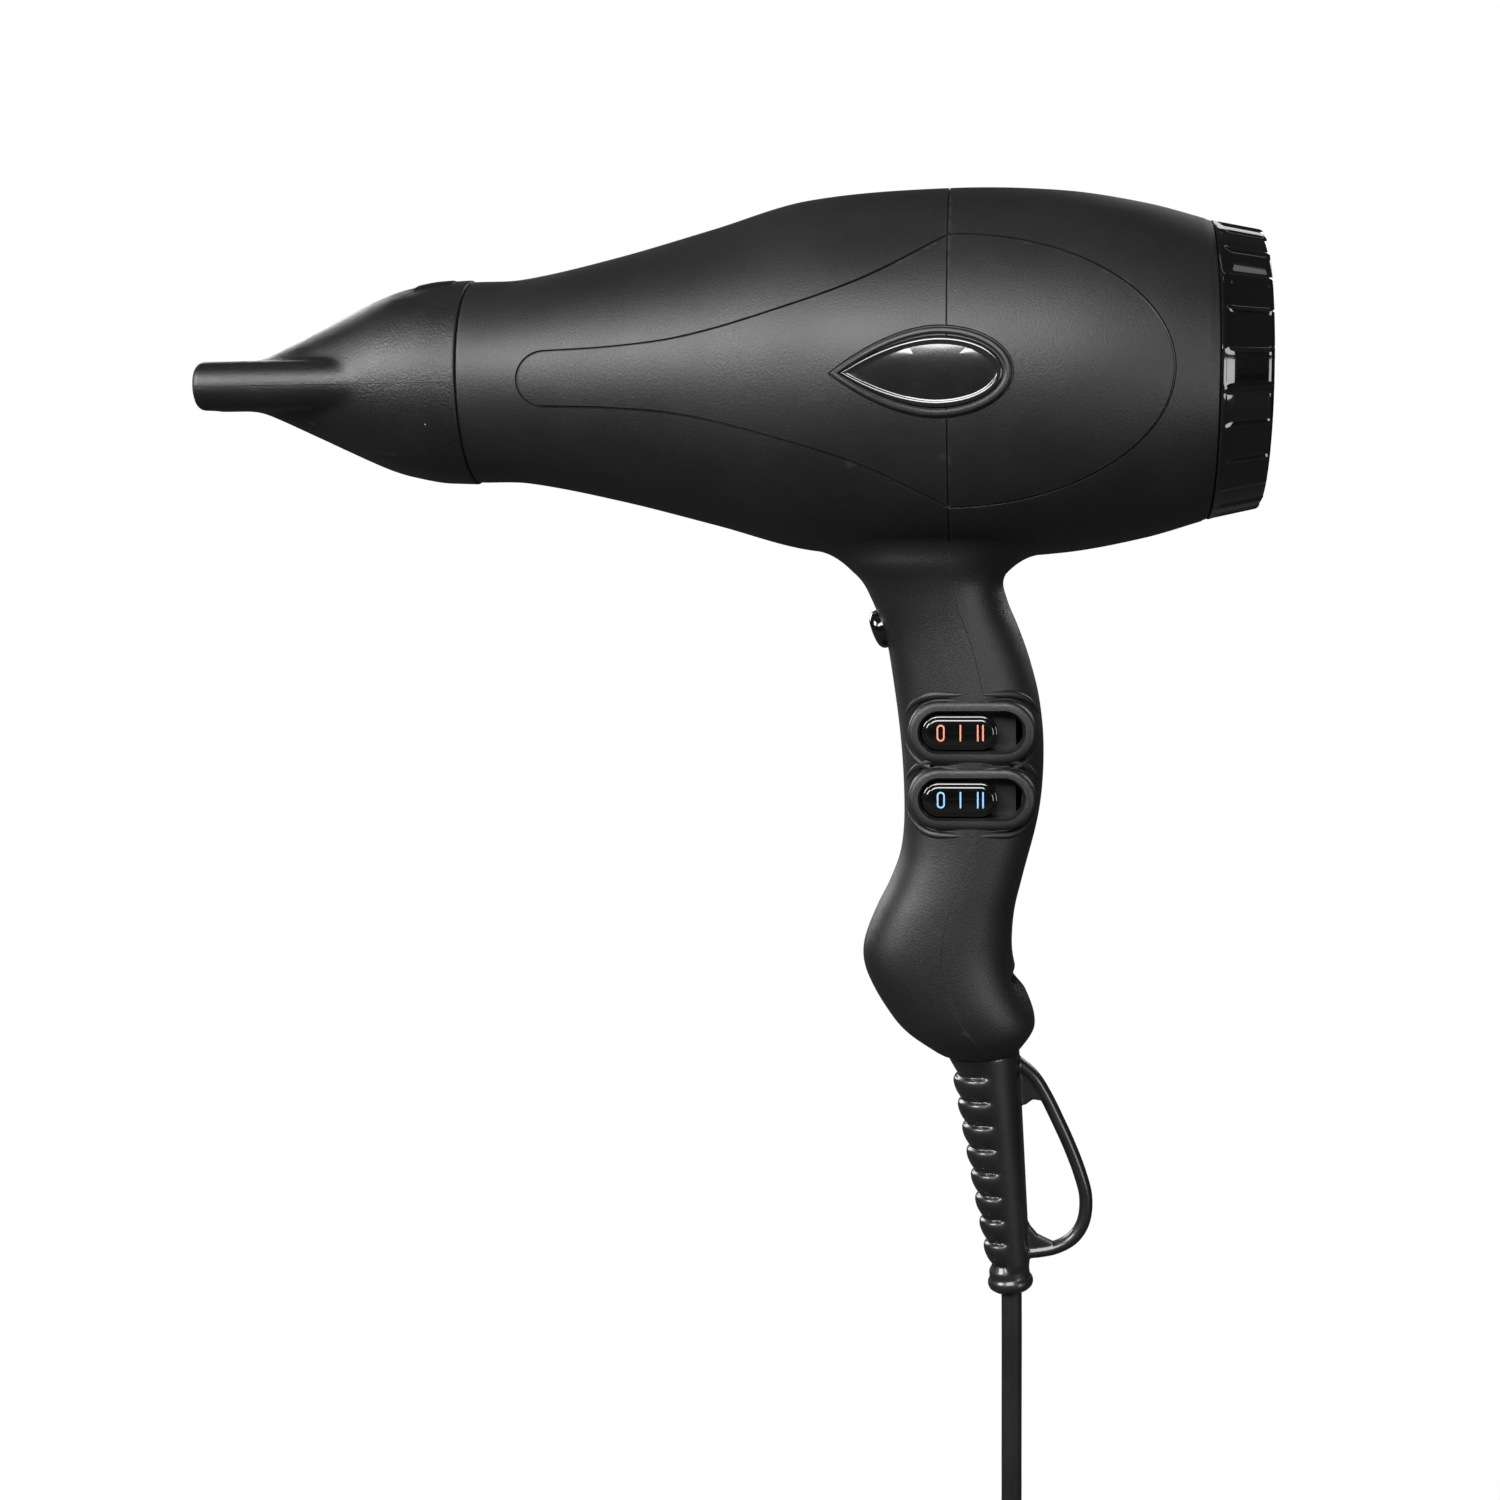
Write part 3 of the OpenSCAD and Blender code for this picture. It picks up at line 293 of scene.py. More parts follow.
# %% [markdown]
# ## The cord
# The mains lead is a fixed length of stiff round cable. It drops out of the strain relief, bends onto
# the ground and is put away as a neat round coil, out of the camera's view, with its plug beside it.
# A curve object with a round bevel suits it: the line carries the length and the bevel the thickness.
# The coil is four layers of turns, laid inwards, outwards, inwards and outwards again.

# %% Cord route
CORD_D = 5.5
GROUND_Z = -350
RELIEF_X, RELIEF_LEN, RELIEF_LEAN = 8.3, 65, radians(6.4)
HANDLE_LEN = 174.5
relief_tip = (RELIEF_X + RELIEF_LEN * sin(RELIEF_LEAN), 0, -HANDLE_LEN - RELIEF_LEN * cos(RELIEF_LEAN))
lead_route = [
    relief_tip, (15.6, 0, -250), (15.6, 0, -262), (15.6, 0, -274), (15.6, 0, -286), (15.6, 0, -298),
    (15.3, 0, -307), (14, -0.1, -314), (11.3, -0.3, -320.5), (7.2, -0.9, -325.8), (2.2, -2.2, -329),
    (-3, -4.4, -330.6), (-8.4, -7.8, -331)
]
PLUG_Z = GROUND_Z + 15.5 / 2
TAIL_Y = 0.2
tail_route = [
    (2, TAIL_Y, GROUND_Z + CORD_D / 2), (-3, TAIL_Y, GROUND_Z + CORD_D / 2 + 0.2),
    (-8, TAIL_Y, GROUND_Z + CORD_D / 2 + 1), (-13, TAIL_Y, GROUND_Z + CORD_D / 2 + 2.5),
    (-18, TAIL_Y, PLUG_Z - 1), (-21, TAIL_Y, PLUG_Z - 0.2), (-24, TAIL_Y, PLUG_Z)
]
COIL_X, COIL_Y = 15.6, -40
COIL_R0, COIL_R1 = 40.55, 21.45
LAYERS, LAYER_DROP, TOP_LAYER_Z = 4, 5.4, -331.05
START_TURN, TURNS = 126.7 / 360, 13.898
STEPS_PER_TURN = 48


def coil_point(turns):
    """A place on the coil, after so many turns."""
    layer_turns = TURNS / LAYERS
    layer = min(floor(turns / layer_turns), LAYERS - 1)
    share = turns / layer_turns - layer
    inwards = share if layer % 2 == 0 else 1 - share
    radius = COIL_R0 + (COIL_R1 - COIL_R0) * inwards
    ease = np.clip((share - 0.93) / 0.07, 0, 1) if layer < LAYERS - 1 else 0
    depth = layer + ease * ease * (3 - 2 * ease)
    turn = 2 * pi * (START_TURN + turns)
    return (COIL_X + radius * cos(turn), COIL_Y + radius * sin(turn), TOP_LAYER_Z - depth * LAYER_DROP)


coil_steps = round(TURNS * STEPS_PER_TURN)
coil_route = [coil_point(TURNS * i / coil_steps) for i in range(2, coil_steps)]
cord_line = to_frame(np.vstack([through(lead_route, 3), coil_route, through(tail_route, 2)]))
cord_length = float(np.linalg.norm(np.diff(cord_line, axis=0), axis=1).sum())
curve = bpy.data.curves.new("mains_cord", "CURVE")
curve.dimensions, curve.bevel_depth, curve.bevel_resolution = "3D", CORD_D / 2 * MM, 5
curve.use_fill_caps = True
spline = curve.splines.new("POLY")
spline.points.add(len(cord_line) - 1)
for spot, place in zip(spline.points, cord_line):
    spot.co = (*place, 1)
spline.use_smooth = True
mains_cord = new_object("mains_cord", curve)
print(f"cord: {cord_length:.3f} m in {len(cord_line)} points")

# %% [markdown]
# ## Shared effects as node groups
# Moulded plastic is never one flat colour. Four small effects are built once, as node groups with named
# sockets, and every finish places the ones it needs with its own values: a grain that gives height and
# tone, sparse specks of dust, fine scuffs, and a mask of the worn convex edges.


# %% Node group maker
def group(name, inputs, outputs):
    tree = bpy.data.node_groups.new(name, "ShaderNodeTree")
    for label, kind, value in inputs:
        socket = tree.interface.new_socket(label, in_out="INPUT", socket_type=kind)
        if value is not None:
            socket.default_value = value
    for label in outputs:
        tree.interface.new_socket(label, in_out="OUTPUT", socket_type="NodeSocketFloat")
    return tree, tree.nodes.new("NodeGroupInput").outputs, tree.nodes.new("NodeGroupOutput").inputs


def node(tree, kind, links=(), **settings):
    """Adds a node, sets its options and fills its inputs with links or numbers."""
    made = tree.nodes.new("ShaderNode" + kind)
    for key, value in settings.items():
        setattr(made, key, value)
    for socket, value in dict(links).items():
        if isinstance(value, bpy.types.NodeSocket):
            tree.links.new(value, made.inputs[socket])
        else:
            made.inputs[socket].default_value = value
    return made


FLOAT, VECTOR = "NodeSocketFloat", "NodeSocketVector"

# %% Grain: height and tone of a moulded or cast surface
grain, given, result = group("surface_grain", [
    ("Vector", VECTOR, None), ("Scale", FLOAT, 1000.0), ("Patches", FLOAT, 40.0),
], ["Height", "Tone"])
fine = node(grain, "TexNoise", {
    "Vector": given["Vector"], "Scale": given["Scale"], "Detail": 4, "Roughness": 0.65,
})
broad = node(grain, "TexNoise", {
    "Vector": given["Vector"], "Scale": given["Patches"], "Detail": 5, "Roughness": 0.6,
})
both = node(grain, "Math", {0: fine.outputs["Fac"], 1: 0.35, 2: broad.outputs["Fac"]},
            operation="MULTIPLY_ADD")
tone = node(grain, "MapRange", {"Value": both.outputs[0], "From Min": 0.4, "From Max": 0.95})
grain.links.new(fine.outputs["Fac"], result["Height"])
grain.links.new(tone.outputs[0], result["Tone"])

# %% Dust: a few pale specks, each cell of a Voronoi pattern deciding whether it holds one
dust, given, result = group("dust_specks", [
    ("Vector", VECTOR, None), ("Scale", FLOAT, 120.0), ("Amount", FLOAT, 0.1), ("Size", FLOAT, 0.03),
], ["Mask"])
cells = node(dust, "TexVoronoi", {"Vector": given["Vector"], "Scale": given["Scale"], "Randomness": 1})
small = node(dust, "Math", {0: cells.outputs["Distance"], 1: given["Size"]}, operation="LESS_THAN")
lot = node(dust, "SeparateColor", {"Color": cells.outputs["Color"]})
chosen = node(dust, "Math", {0: lot.outputs[0], 1: given["Amount"]}, operation="LESS_THAN")
speck = node(dust, "Math", {0: small.outputs[0], 1: chosen.outputs[0]}, operation="MULTIPLY")
dust.links.new(speck.outputs[0], result["Mask"])

# %% Scuffs: long thin marks, from noise that is stretched along the dryer
scuff, given, result = group("fine_scuffs", [
    ("Vector", VECTOR, None), ("Scale", FLOAT, 60.0), ("Amount", FLOAT, 0.1),
], ["Mask"])
stretched = node(scuff, "VectorMath", {0: given["Vector"], 1: (0.25, 1.0, 4.0)}, operation="MULTIPLY")
streaks = node(scuff, "TexNoise", {
    "Vector": stretched.outputs[0], "Scale": given["Scale"], "Detail": 8, "Roughness": 0.75,
    "Distortion": 0.6,
})
thin = node(scuff, "MapRange", {"Value": streaks.outputs["Fac"], "From Min": 0.62, "From Max": 0.72})
marks = node(scuff, "Math", {0: thin.outputs[0], 1: given["Amount"]}, operation="MULTIPLY")
scuff.links.new(marks.outputs[0], result["Mask"])

# %% Worn edges: Cycles' pointiness finds the convex edges, and noise breaks them up
worn, given, result = group("worn_edges", [
    ("Vector", VECTOR, None), ("Scale", FLOAT, 300.0), ("Amount", FLOAT, 0.3),
], ["Mask"])
shape = node(worn, "NewGeometry")
convex = node(worn, "MapRange", {"Value": shape.outputs["Pointiness"], "From Min": 0.52, "From Max": 0.62})
rough = node(worn, "TexNoise", {"Vector": given["Vector"], "Scale": given["Scale"], "Detail": 3})
broken = node(worn, "Math", {0: convex.outputs[0], 1: rough.outputs["Fac"]}, operation="MULTIPLY")
share = node(worn, "Math", {0: broken.outputs[0], 1: given["Amount"]}, operation="MULTIPLY")
worn.links.new(share.outputs[0], result["Mask"])
print("node groups:", ", ".join(g.name for g in bpy.data.node_groups))

# %% [markdown]
# ## Finishes
# One function makes every finish from the four effects, because they differ only in their values: two
# colours that the tone mixes, two roughnesses, the grain's size and depth, and how much dust and wear
# they carry. Numbers that are the same all over are set straight on the Principled shader.


# %% Finish maker
def placed(tree, made, **values):
    """A node group placed in a material, reading the piece's own coordinates."""
    here = tree.nodes.new("ShaderNodeGroup")
    here.node_tree = made
    tree.links.new(tree.nodes["Texture Coordinate"].outputs["Object"], here.inputs["Vector"])
    for label, value in values.items():
        here.inputs[label].default_value = value
    return here


def finish(name, dark, light, rough, scale=2500.0, patches=35.0, depth=0.00002, dusty=0.0, scuffed=0.0,
           worn_by=0.0, worn_colour=(0.3, 0.3, 0.3), **shader):
    material = bpy.data.materials.new(name)
    material.use_nodes = True
    tree = material.node_tree
    surface = tree.nodes["Principled BSDF"]
    node(tree, "TexCoord")
    skin = placed(tree, grain, Scale=scale, Patches=patches)
    colour = node(tree, "Mix", {0: skin.outputs["Tone"], 6: (*dark, 1), 7: (*light, 1)}, data_type="RGBA")
    gloss = node(tree, "MapRange", {"Value": skin.outputs["Tone"], "To Min": rough[0], "To Max": rough[1]})
    tint, shine = colour.outputs[2], gloss.outputs[0]
    for effect, amount, paint in (
        (worn, worn_by, worn_colour), (scuff, scuffed, (0.25, 0.25, 0.25)), (dust, dusty, (0.45, 0.44, 0.42)),
    ):
        if amount:
            mask = placed(tree, effect, Amount=amount).outputs["Mask"]
            tint = node(tree, "Mix", {0: mask, 6: tint, 7: (*paint, 1)}, data_type="RGBA").outputs[2]
            shine = node(tree, "Math", {0: mask, 1: 0.2, 2: shine}, operation="MULTIPLY_ADD").outputs[0]
    relief = node(tree, "Bump", {"Height": skin.outputs["Height"], "Distance": depth, "Strength": 1})
    tree.links.new(tint, surface.inputs["Base Color"])
    tree.links.new(shine, surface.inputs["Roughness"])
    tree.links.new(relief.outputs[0], surface.inputs["Normal"])
    for label, value in shader.items():
        surface.inputs[label.replace("_", " ")].default_value = value
    return material


# %% The dryer's own finishes
soft_touch = finish(
    "soft_touch_black", (0.003, 0.003, 0.0032), (0.006, 0.006, 0.0063), (0.42, 0.52), scale=2000,
    depth=0.00009, dusty=0.05, scuffed=0.02, worn_by=0.06, Specular_IOR_Level=0.55)
nozzle_black = finish(
    "nozzle_black", (0.002, 0.002, 0.0022), (0.006, 0.006, 0.0063), (0.33, 0.45), scale=1700,
    depth=0.00014, dusty=0.04, scuffed=0.04, worn_by=0.1)
gloss_black = finish(
    "polished_black", (0.002, 0.002, 0.0022), (0.004, 0.004, 0.0042), (0.05, 0.12), scale=400,
    depth=0.000004, dusty=0.03, scuffed=0.015, worn_by=0.05, Coat_Weight=0.6, Coat_Roughness=0.04)
satin_black = finish(
    "satin_black", (0.01, 0.01, 0.011), (0.02, 0.02, 0.021), (0.3, 0.42), depth=0.00003)
badge_black = finish(
    "badge_black", (0.006, 0.006, 0.0062), (0.016, 0.016, 0.016), (0.12, 0.22), scale=900,
    depth=0.00001, dusty=0.05, scuffed=0.04, Coat_Weight=0.8, Coat_Roughness=0.08)
relief_rubber = finish(
    "moulded_rubber", (0.003, 0.003, 0.0032), (0.007, 0.007, 0.0072), (0.36, 0.46), scale=700,
    depth=0.00001, dusty=0.03, scuffed=0.02, Coat_Weight=0.5, Coat_Roughness=0.09)
cord_rubber = finish(
    "cord_rubber", (0.006, 0.006, 0.006), (0.012, 0.012, 0.012), (0.32, 0.44), scale=1500,
    depth=0.00003, dusty=0.05, scuffed=0.03)
warm_mark = finish(
    "warm_mark", (0.6, 0.2, 0.12), (0.7, 0.26, 0.17), (0.4, 0.5), depth=0.00001)
cool_mark = finish(
    "cool_mark", (0.2, 0.42, 0.72), (0.26, 0.5, 0.8), (0.4, 0.5), depth=0.00001)
gold_grille = finish(
    "gold_grille", (0.62, 0.42, 0.16), (0.78, 0.56, 0.25), (0.25, 0.4), scuffed=0.2, Metallic=1.0)
steel = finish(
    "steel", (0.5, 0.5, 0.51), (0.66, 0.66, 0.67), (0.2, 0.36), scale=1200, depth=0.00001,
    scuffed=0.3, Metallic=1.0)
aluminium = finish(
    "aluminium", (0.58, 0.59, 0.6), (0.72, 0.73, 0.74), (0.34, 0.5), scuffed=0.2, Metallic=1.0)
filter_steel = finish(
    "filter_steel", (0.28, 0.28, 0.29), (0.42, 0.42, 0.43), (0.3, 0.45), scuffed=0.1, Metallic=1.0)
copper = finish(
    "copper", (0.5, 0.17, 0.06), (0.72, 0.3, 0.13), (0.25, 0.4), scale=3000, Metallic=1.0)
heater_wire = finish(
    "heater_wire", (0.28, 0.25, 0.22), (0.42, 0.36, 0.3), (0.35, 0.55), Metallic=1.0)
mica = finish(
    "mica", (0.42, 0.36, 0.25), (0.62, 0.56, 0.43), (0.35, 0.6), scale=300, patches=120)
circuit_board = finish(
    "circuit_board", (0.01, 0.09, 0.035), (0.02, 0.15, 0.06), (0.3, 0.45), patches=400)
magnet_grey = finish(
    "magnet_grey", (0.03, 0.03, 0.033), (0.06, 0.06, 0.064), (0.45, 0.6), depth=0.00005)
pin_metal = finish(
    "pin_metal", (0.6, 0.58, 0.54), (0.74, 0.72, 0.68), (0.14, 0.28), scale=900, depth=0.000006,
    scuffed=0.3, Metallic=1.0)
wire_sheath = finish(
    "wire_sheath", (0.25, 0.025, 0.02), (0.35, 0.04, 0.03), (0.35, 0.5))
print("finishes:", len(bpy.data.materials))

# %% [markdown]
# ## Outlines of the barrel and the handle
# The barrel is a body of revolution, so one line holds it. The handle changes in depth and width on its
# way down, so it has a front, a rear and a side line, and a cross-section that is fuller than an ellipse.

# %% Outline values
BARREL_R, NOSE_R, TAIL_R, WALL = 45.8, 25.4, 36.7, 2.2
swell, taper = BARREL_R - NOSE_R, BARREL_R - TAIL_R
barrel_line = [
    (-FRONT_LEN, NOSE_R), (-0.89 * FRONT_LEN, NOSE_R + 0.02 * swell),
    (-0.69 * FRONT_LEN, NOSE_R + 0.26 * swell), (-0.49 * FRONT_LEN, NOSE_R + 0.57 * swell),
    (-0.29 * FRONT_LEN, NOSE_R + 0.89 * swell), (0, BARREL_R),
    (0.44 * REAR_LEN, TAIL_R + 0.87 * taper), (0.76 * REAR_LEN, TAIL_R + 0.48 * taper),
    (REAR_LEN, TAIL_R)
]
front_edge = [
    (-12, -34), (-5, -33), (0, -28.2), (4, -22.9), (8, -20.1), (14, -17.1), (20, -15.5), (36, -12.9),
    (50, -12.1), (58, -13), (64, -15.6), (70, -19.4), (76, -22.4), (80, -22.9), (84, -21.5),
    (90, -17.3), (95, -12.2), (100, -3)
]
rear_edge = [
    (-12, 30), (-5, 28), (0, 17.5), (4, 13.4), (8, 14.1), (14, 17.2), (20, 19.9), (28, 22.4), (38, 23.5),
    (50, 22.4), (64, 18), (70, 16.2), (76, 15.5), (80, 15.8), (84, 17.2), (88, 19.6), (92, 21.3), (95, 21),
    (100, 16.5)
]
GRIP_SIDE = 32.6 / 2
side_edge = [
    (p, GRIP_SIDE + extra) for p, extra in (
        (-12, 2.7), (-5, 4.2), (0, 3.8), (4, 2.1), (8, 1), (14, 0.3), (30, 0), (55, -0.1),
        (76, 0.9), (88, 0.3), (95, -1.6), (100, -5.5)
    )
]
seam_edge = [
    (0, 0.2), (8, 1.5), (14, 4.4), (22, 7.2), (30, 8.9), (40, 9.3), (53, 7.2), (62, 3), (70, -0.8),
    (78, -2.5), (84, -1.8), (90, 1.6), (96, 7), (102, 13)
]
VISIBLE_LEN = HANDLE_LEN - BARREL_R
FULLNESS = 2.3


def barrel(x):
    return along(barrel_line, np.clip(x, -FRONT_LEN, REAR_LEN))


def drop_at(percent):
    return BARREL_R + percent * VISIBLE_LEN / 100


def percent_at(drop):
    return 100 * (drop - BARREL_R) / VISIBLE_LEN


def handle_point(percent, turn, inset=0.0):
    """A point on the handle's skin, turn being the angle round its middle."""
    a, b = along(front_edge, percent) + inset, along(rear_edge, percent) - inset
    side = along(side_edge, percent) - inset
    c, s = np.cos(turn), np.sin(turn)
    full_c = np.sign(c) * np.abs(c) ** (2 / FULLNESS)
    full_s = np.sign(s) * np.abs(s) ** (2 / FULLNESS)
    x = (a + b) / 2 + (b - a) / 2 * full_c
    return np.stack(np.broadcast_arrays(x, side * full_s, -drop_at(percent)), -1)


def handle_side(percent, x):
    """How far out the handle's skin is at a place on its side."""
    a, b = along(front_edge, percent), along(rear_edge, percent)
    across = np.clip(np.abs((x - (a + b) / 2) / ((b - a) / 2)), 0, 1)
    return along(side_edge, percent) * (1 - across**FULLNESS) ** (1 / FULLNESS)


def on_barrel(x, z, side, lift=0.0):
    """A point on the barrel's skin, or lifted off it, given its place in the side view."""
    r = barrel(x) + lift
    return np.stack(np.broadcast_arrays(x, side * np.sqrt(np.maximum(r * r - np.square(z), 1)), z), -1)


def outward_from_axis(points):
    return unit(points * [0, 1, 1])


print(f"barrel {FRONT_LEN + REAR_LEN} mm long, handle {VISIBLE_LEN:.1f} mm below it")

# %% [markdown]
# ## Barrel and handle in one skin
# On the real dryer the handle flows into the barrel with a soft fillet. The handle is a stack of rings
# whose top rows leave it early and bend out along a curve that meets the barrel flat, so the union of
# the two closed bodies has no hard corner.

# %% Barrel body
EDGE = [(0.0, 0.55), (0.12, 0.24), (0.35, 0.06), (0.7, 0.0)]
front_rim = [(-FRONT_LEN + d, NOSE_R - inset) for d, inset in EDGE]
rear_rim = [(REAR_LEN - d, TAIL_R - inset) for d, inset in EDGE[::-1]]
middle = [(x, float(barrel(x))) for x in np.linspace(-FRONT_LEN + 1.5, REAR_LEN - 1.5, 150)]
casing = turned("casing", front_rim + middle + rear_rim, 224)

# %% Handle body with its fillet
AROUND, DOWN = 128, 150
FILLET = 4.5
turns = np.arange(AROUND) * 2 * pi / AROUND


def meets_barrel():
    """Percent down the handle at which each of its sides leaves the barrel."""
    low, high = np.full(AROUND, -11.0), np.full(AROUND, 12.0)
    for _ in range(30):
        mid = (low + high) / 2
        p = handle_point(mid, turns)
        inside = np.hypot(p[:, 1], p[:, 2]) < barrel(p[:, 0])
        low, high = np.where(inside, mid, low), np.where(inside, high, mid)
    return (low + high) / 2


meet = meets_barrel()
corner = handle_point(meet, turns)
start = meet + 100 * FILLET / VISIBLE_LEN
lower = handle_point(start, turns)
away = unit((corner - handle_point(meet, 0) / 2 - handle_point(meet, pi) / 2) * [1, 1, 0])
upper = corner + away * FILLET
scale_up = (barrel(upper[:, 0]) - 0.04) / np.hypot(upper[:, 1], upper[:, 2])
upper[:, 1] *= scale_up
upper[:, 2] *= scale_up
LIP = [(0.0, 2.4), (0.06, 1.5), (0.25, 0.75), (0.6, 0.2)]
rings = [handle_point(100 - 100 * d / VISIBLE_LEN, turns, inset) for d, inset in LIP]
for k in range(DOWN):
    share = k / (DOWN - 1)
    rings.append(handle_point(99 + (start - 99) * share, turns))
for t in np.linspace(0, 1, 11)[1:]:
    rings.append((1 - t) ** 2 * lower + 2 * t * (1 - t) * corner + t * t * upper)
rings.append(upper * [1, 0.8, 0.8])
handle = solid("handle", rings)
add(casing, handle)
print("casing with handle:", len(casing.data.polygons), "faces")

# %% [markdown]
# ## Switch rims
# Each slider lies in a slot with a flat rim that stands out where the grip curves away, and dips to
# the grip's own surface in the middle. A rim is an outline with round ends, repeated ever smaller as
# it goes up over its rounded edge.

# %% Rims
SWITCH_X, HEAT_DROP, SPEED_DROP = 5.4, 88.3, 105.2
SLIDER_LEN, SLIDER_H, TRAVEL = 19, 8.8, 6
SLOT_LEN, SLOT_H = SLIDER_LEN + TRAVEL + 0.8, SLIDER_H + 1.0
RIM_W, PAD_ROOT, PAD_FACE = 3.0, 10.2, GRIP_SIDE + 0.6


def stadium(length, height, around=96):
    """Outline with round ends, as (x, z) points."""
    turn = (np.arange(around) + 0.5) * 2 * pi / around
    reach = (length - height) / 2
    return np.stack([height / 2 * np.cos(turn) + np.sign(np.cos(turn)) * reach, height / 2 * np.sin(turn)], 1)


def side_rings(outlines, x, drop):
    """Rings in the side view, each an outline and the depths of its points in Y."""
    made = []
    for outline, y in outlines:
        depth = np.broadcast_to(y, len(outline))
        made.append(np.column_stack([outline[:, 0] + x, depth, outline[:, 1] - drop]))
    return made


def rim_face(outline):
    """The rim's face dips towards the middle of the slot's length."""
    ends = np.clip((np.abs(outline[:, 0]) - 3) / 8, 0, 1)
    return -(GRIP_SIDE + 0.02 + 0.58 * ends * ends * (3 - 2 * ends))


def rim_pad(drop):
    rings = []
    for inset, below in ((0, 7), (0, 1.5), (0.1, 0.9), (0.35, 0.45), (0.8, 0.12), (1.4, 0), (2.2, 0), (4, 0)):
        outline = stadium(SLOT_LEN + 2 * RIM_W - 2 * inset, SLOT_H + 2 * RIM_W - 2 * inset)
        rings.append((outline, rim_face(outline) + below))
    return solid("pad", side_rings(rings, SWITCH_X, drop))


def slot_cutter(drop):
    rings = []
    for grow, y in ((0, -PAD_ROOT + 1), (0, -15.4), (0.15, -16), (0.55, -16.6), (1.0, -19)):
        rings.append((stadium(SLOT_LEN + 2 * grow, SLOT_H + 2 * grow), y))
    return solid("slot", side_rings(rings, SWITCH_X, drop))


SWITCH_DROPS = (HEAT_DROP, SPEED_DROP)
add(casing, *[rim_pad(drop) for drop in SWITCH_DROPS])


# %% A soft lip and a moat round both ends of each rim
def crescent(drop, end, half, grow, radius, sink):
    """A bar that follows a rim's outline round one corner and thins out at both ends."""
    height = SLOT_H + 2 * RIM_W + 2 * grow
    reach = (SLOT_LEN - SLOT_H) / 2
    turn = np.linspace(pi / 2, radians(22), 20)
    straight = np.linspace(2, reach, 12)[:-1]
    x = end * np.concatenate([straight, reach + height / 2 * np.cos(turn)]) + SWITCH_X
    z = half * np.concatenate([np.full(11, height / 2), height / 2 * np.sin(turn)]) - drop
    out = handle_side(percent_at(-z), x)
    swell = np.sin(np.linspace(0.02, pi - 0.02, len(x))) ** 0.8
    path = np.column_stack([x, -out + sink * swell, z])
    return tube("bar", path, radius * swell, False, 16, np.tile([0.0, -1, 0], (len(path), 1)))


for drop in SWITCH_DROPS:
    for end in (-1, 1):
        for half in (1, -1):
            add(casing, crescent(drop, end, half, 1.5, 1.1, 0.55))
            cut(casing, crescent(drop, end, half, 0.3, 0.6, 0))
print("rims added")

# %% [markdown]
# ## Hollow casing and its openings
# The casings are thin shells, so the inside is cut away next: the barrel's bore, the handle's hollow,
# and then the slots, the button's hole, the screw's recess and the hole for the strain relief.

# %% Hollows
bore = [(-FRONT_LEN - 2, NOSE_R - WALL)] + [
    (x, float(barrel(x)) - WALL) for x in np.linspace(-FRONT_LEN, REAR_LEN, 60)
] + [(REAR_LEN + 2, TAIL_R - WALL)]
FLOOR_T = 1.8
hollow_rings = [
    handle_point(p, turns[::2], WALL) for p in np.linspace(100 - 100 * FLOOR_T / VISIBLE_LEN, -9, 50)
]
hollow = solid("hollow", hollow_rings)
SCREW_DROP = HANDLE_LEN - 20
screw_rear = float(along(rear_edge, percent_at(SCREW_DROP)))
screw_seat = screw_rear - 6.5


def oval_bar(from_x, to_x, half_y, half_z, around=72):
    """A bar along X with an oval outline, round the screw."""
    ring = circle(around) * [half_y, half_z]
    return solid("oval", [
        np.column_stack([np.full(around, x), ring[:, 0], ring[:, 1] - SCREW_DROP]) for x in (from_x, to_x)
    ])


cut(hollow, *[rim_pad(drop) for drop in SWITCH_DROPS], oval_bar(screw_seat - 3, screw_rear + 9, 11.5, 6))
cut(casing, hollow, turned("bore", bore, 96))
cut(casing, *[slot_cutter(drop) for drop in SWITCH_DROPS])


# %% Round holes
def round_bar(start, direction, length, profile, around=64):
    """Rings of a turned cutter or pin, from start along a direction; profile is (share of length, radius)."""
    d = unit(np.asarray(direction, float))
    side = unit(np.cross(d, [0, 1, 0]))
    rise = np.cross(side, d)
    ring = circle(around)
    return [
        np.asarray(start) + d * length * share + r * (ring[:, :1] * side + ring[:, 1:] * rise)
        for share, r in profile
    ]


BUTTON_DROP, BUTTON_TILT, BUTTON_R = 63.5, radians(20), 5.0
button_at = np.array([float(along(front_edge, percent_at(BUTTON_DROP))), 0, -BUTTON_DROP])
button_in = np.array([cos(BUTTON_TILT), 0, sin(BUTTON_TILT)])
relief_down = np.array([sin(RELIEF_LEAN), 0, -cos(RELIEF_LEAN)])
relief_top = np.array([RELIEF_X, 0, -HANDLE_LEN])
hole_r = BUTTON_R + 0.3
button_hole = round_bar(button_at - 10 * button_in, button_in, 16, [(0, hole_r), (1, hole_r)])
screw_hole = round_bar([screw_seat, 0, -SCREW_DROP], [1, 0, 0], 20, [(0, 3.3), (1, 3.3)])
relief_hole = round_bar(relief_top - 15 * relief_down, relief_down, 20, [(0, 7.15), (1, 7.15)])
cut(casing, solid("button_hole", button_hole), solid("screw_hole", screw_hole),
    solid("relief_hole", relief_hole))
cut(casing, oval_bar(screw_rear - 2.9, screw_rear + 9, 8.8, 3.5))
print("openings cut:", len(casing.data.polygons), "faces")

# %% [markdown]
# ## Grooves, badge rims and the seam
# Thin grooves draw a long bottle-shaped panel in front of the seam and an oval behind it, on both
# sides. A groove is a thin bar laid on the skin and cut away, and a raised rim is a bar added to it.

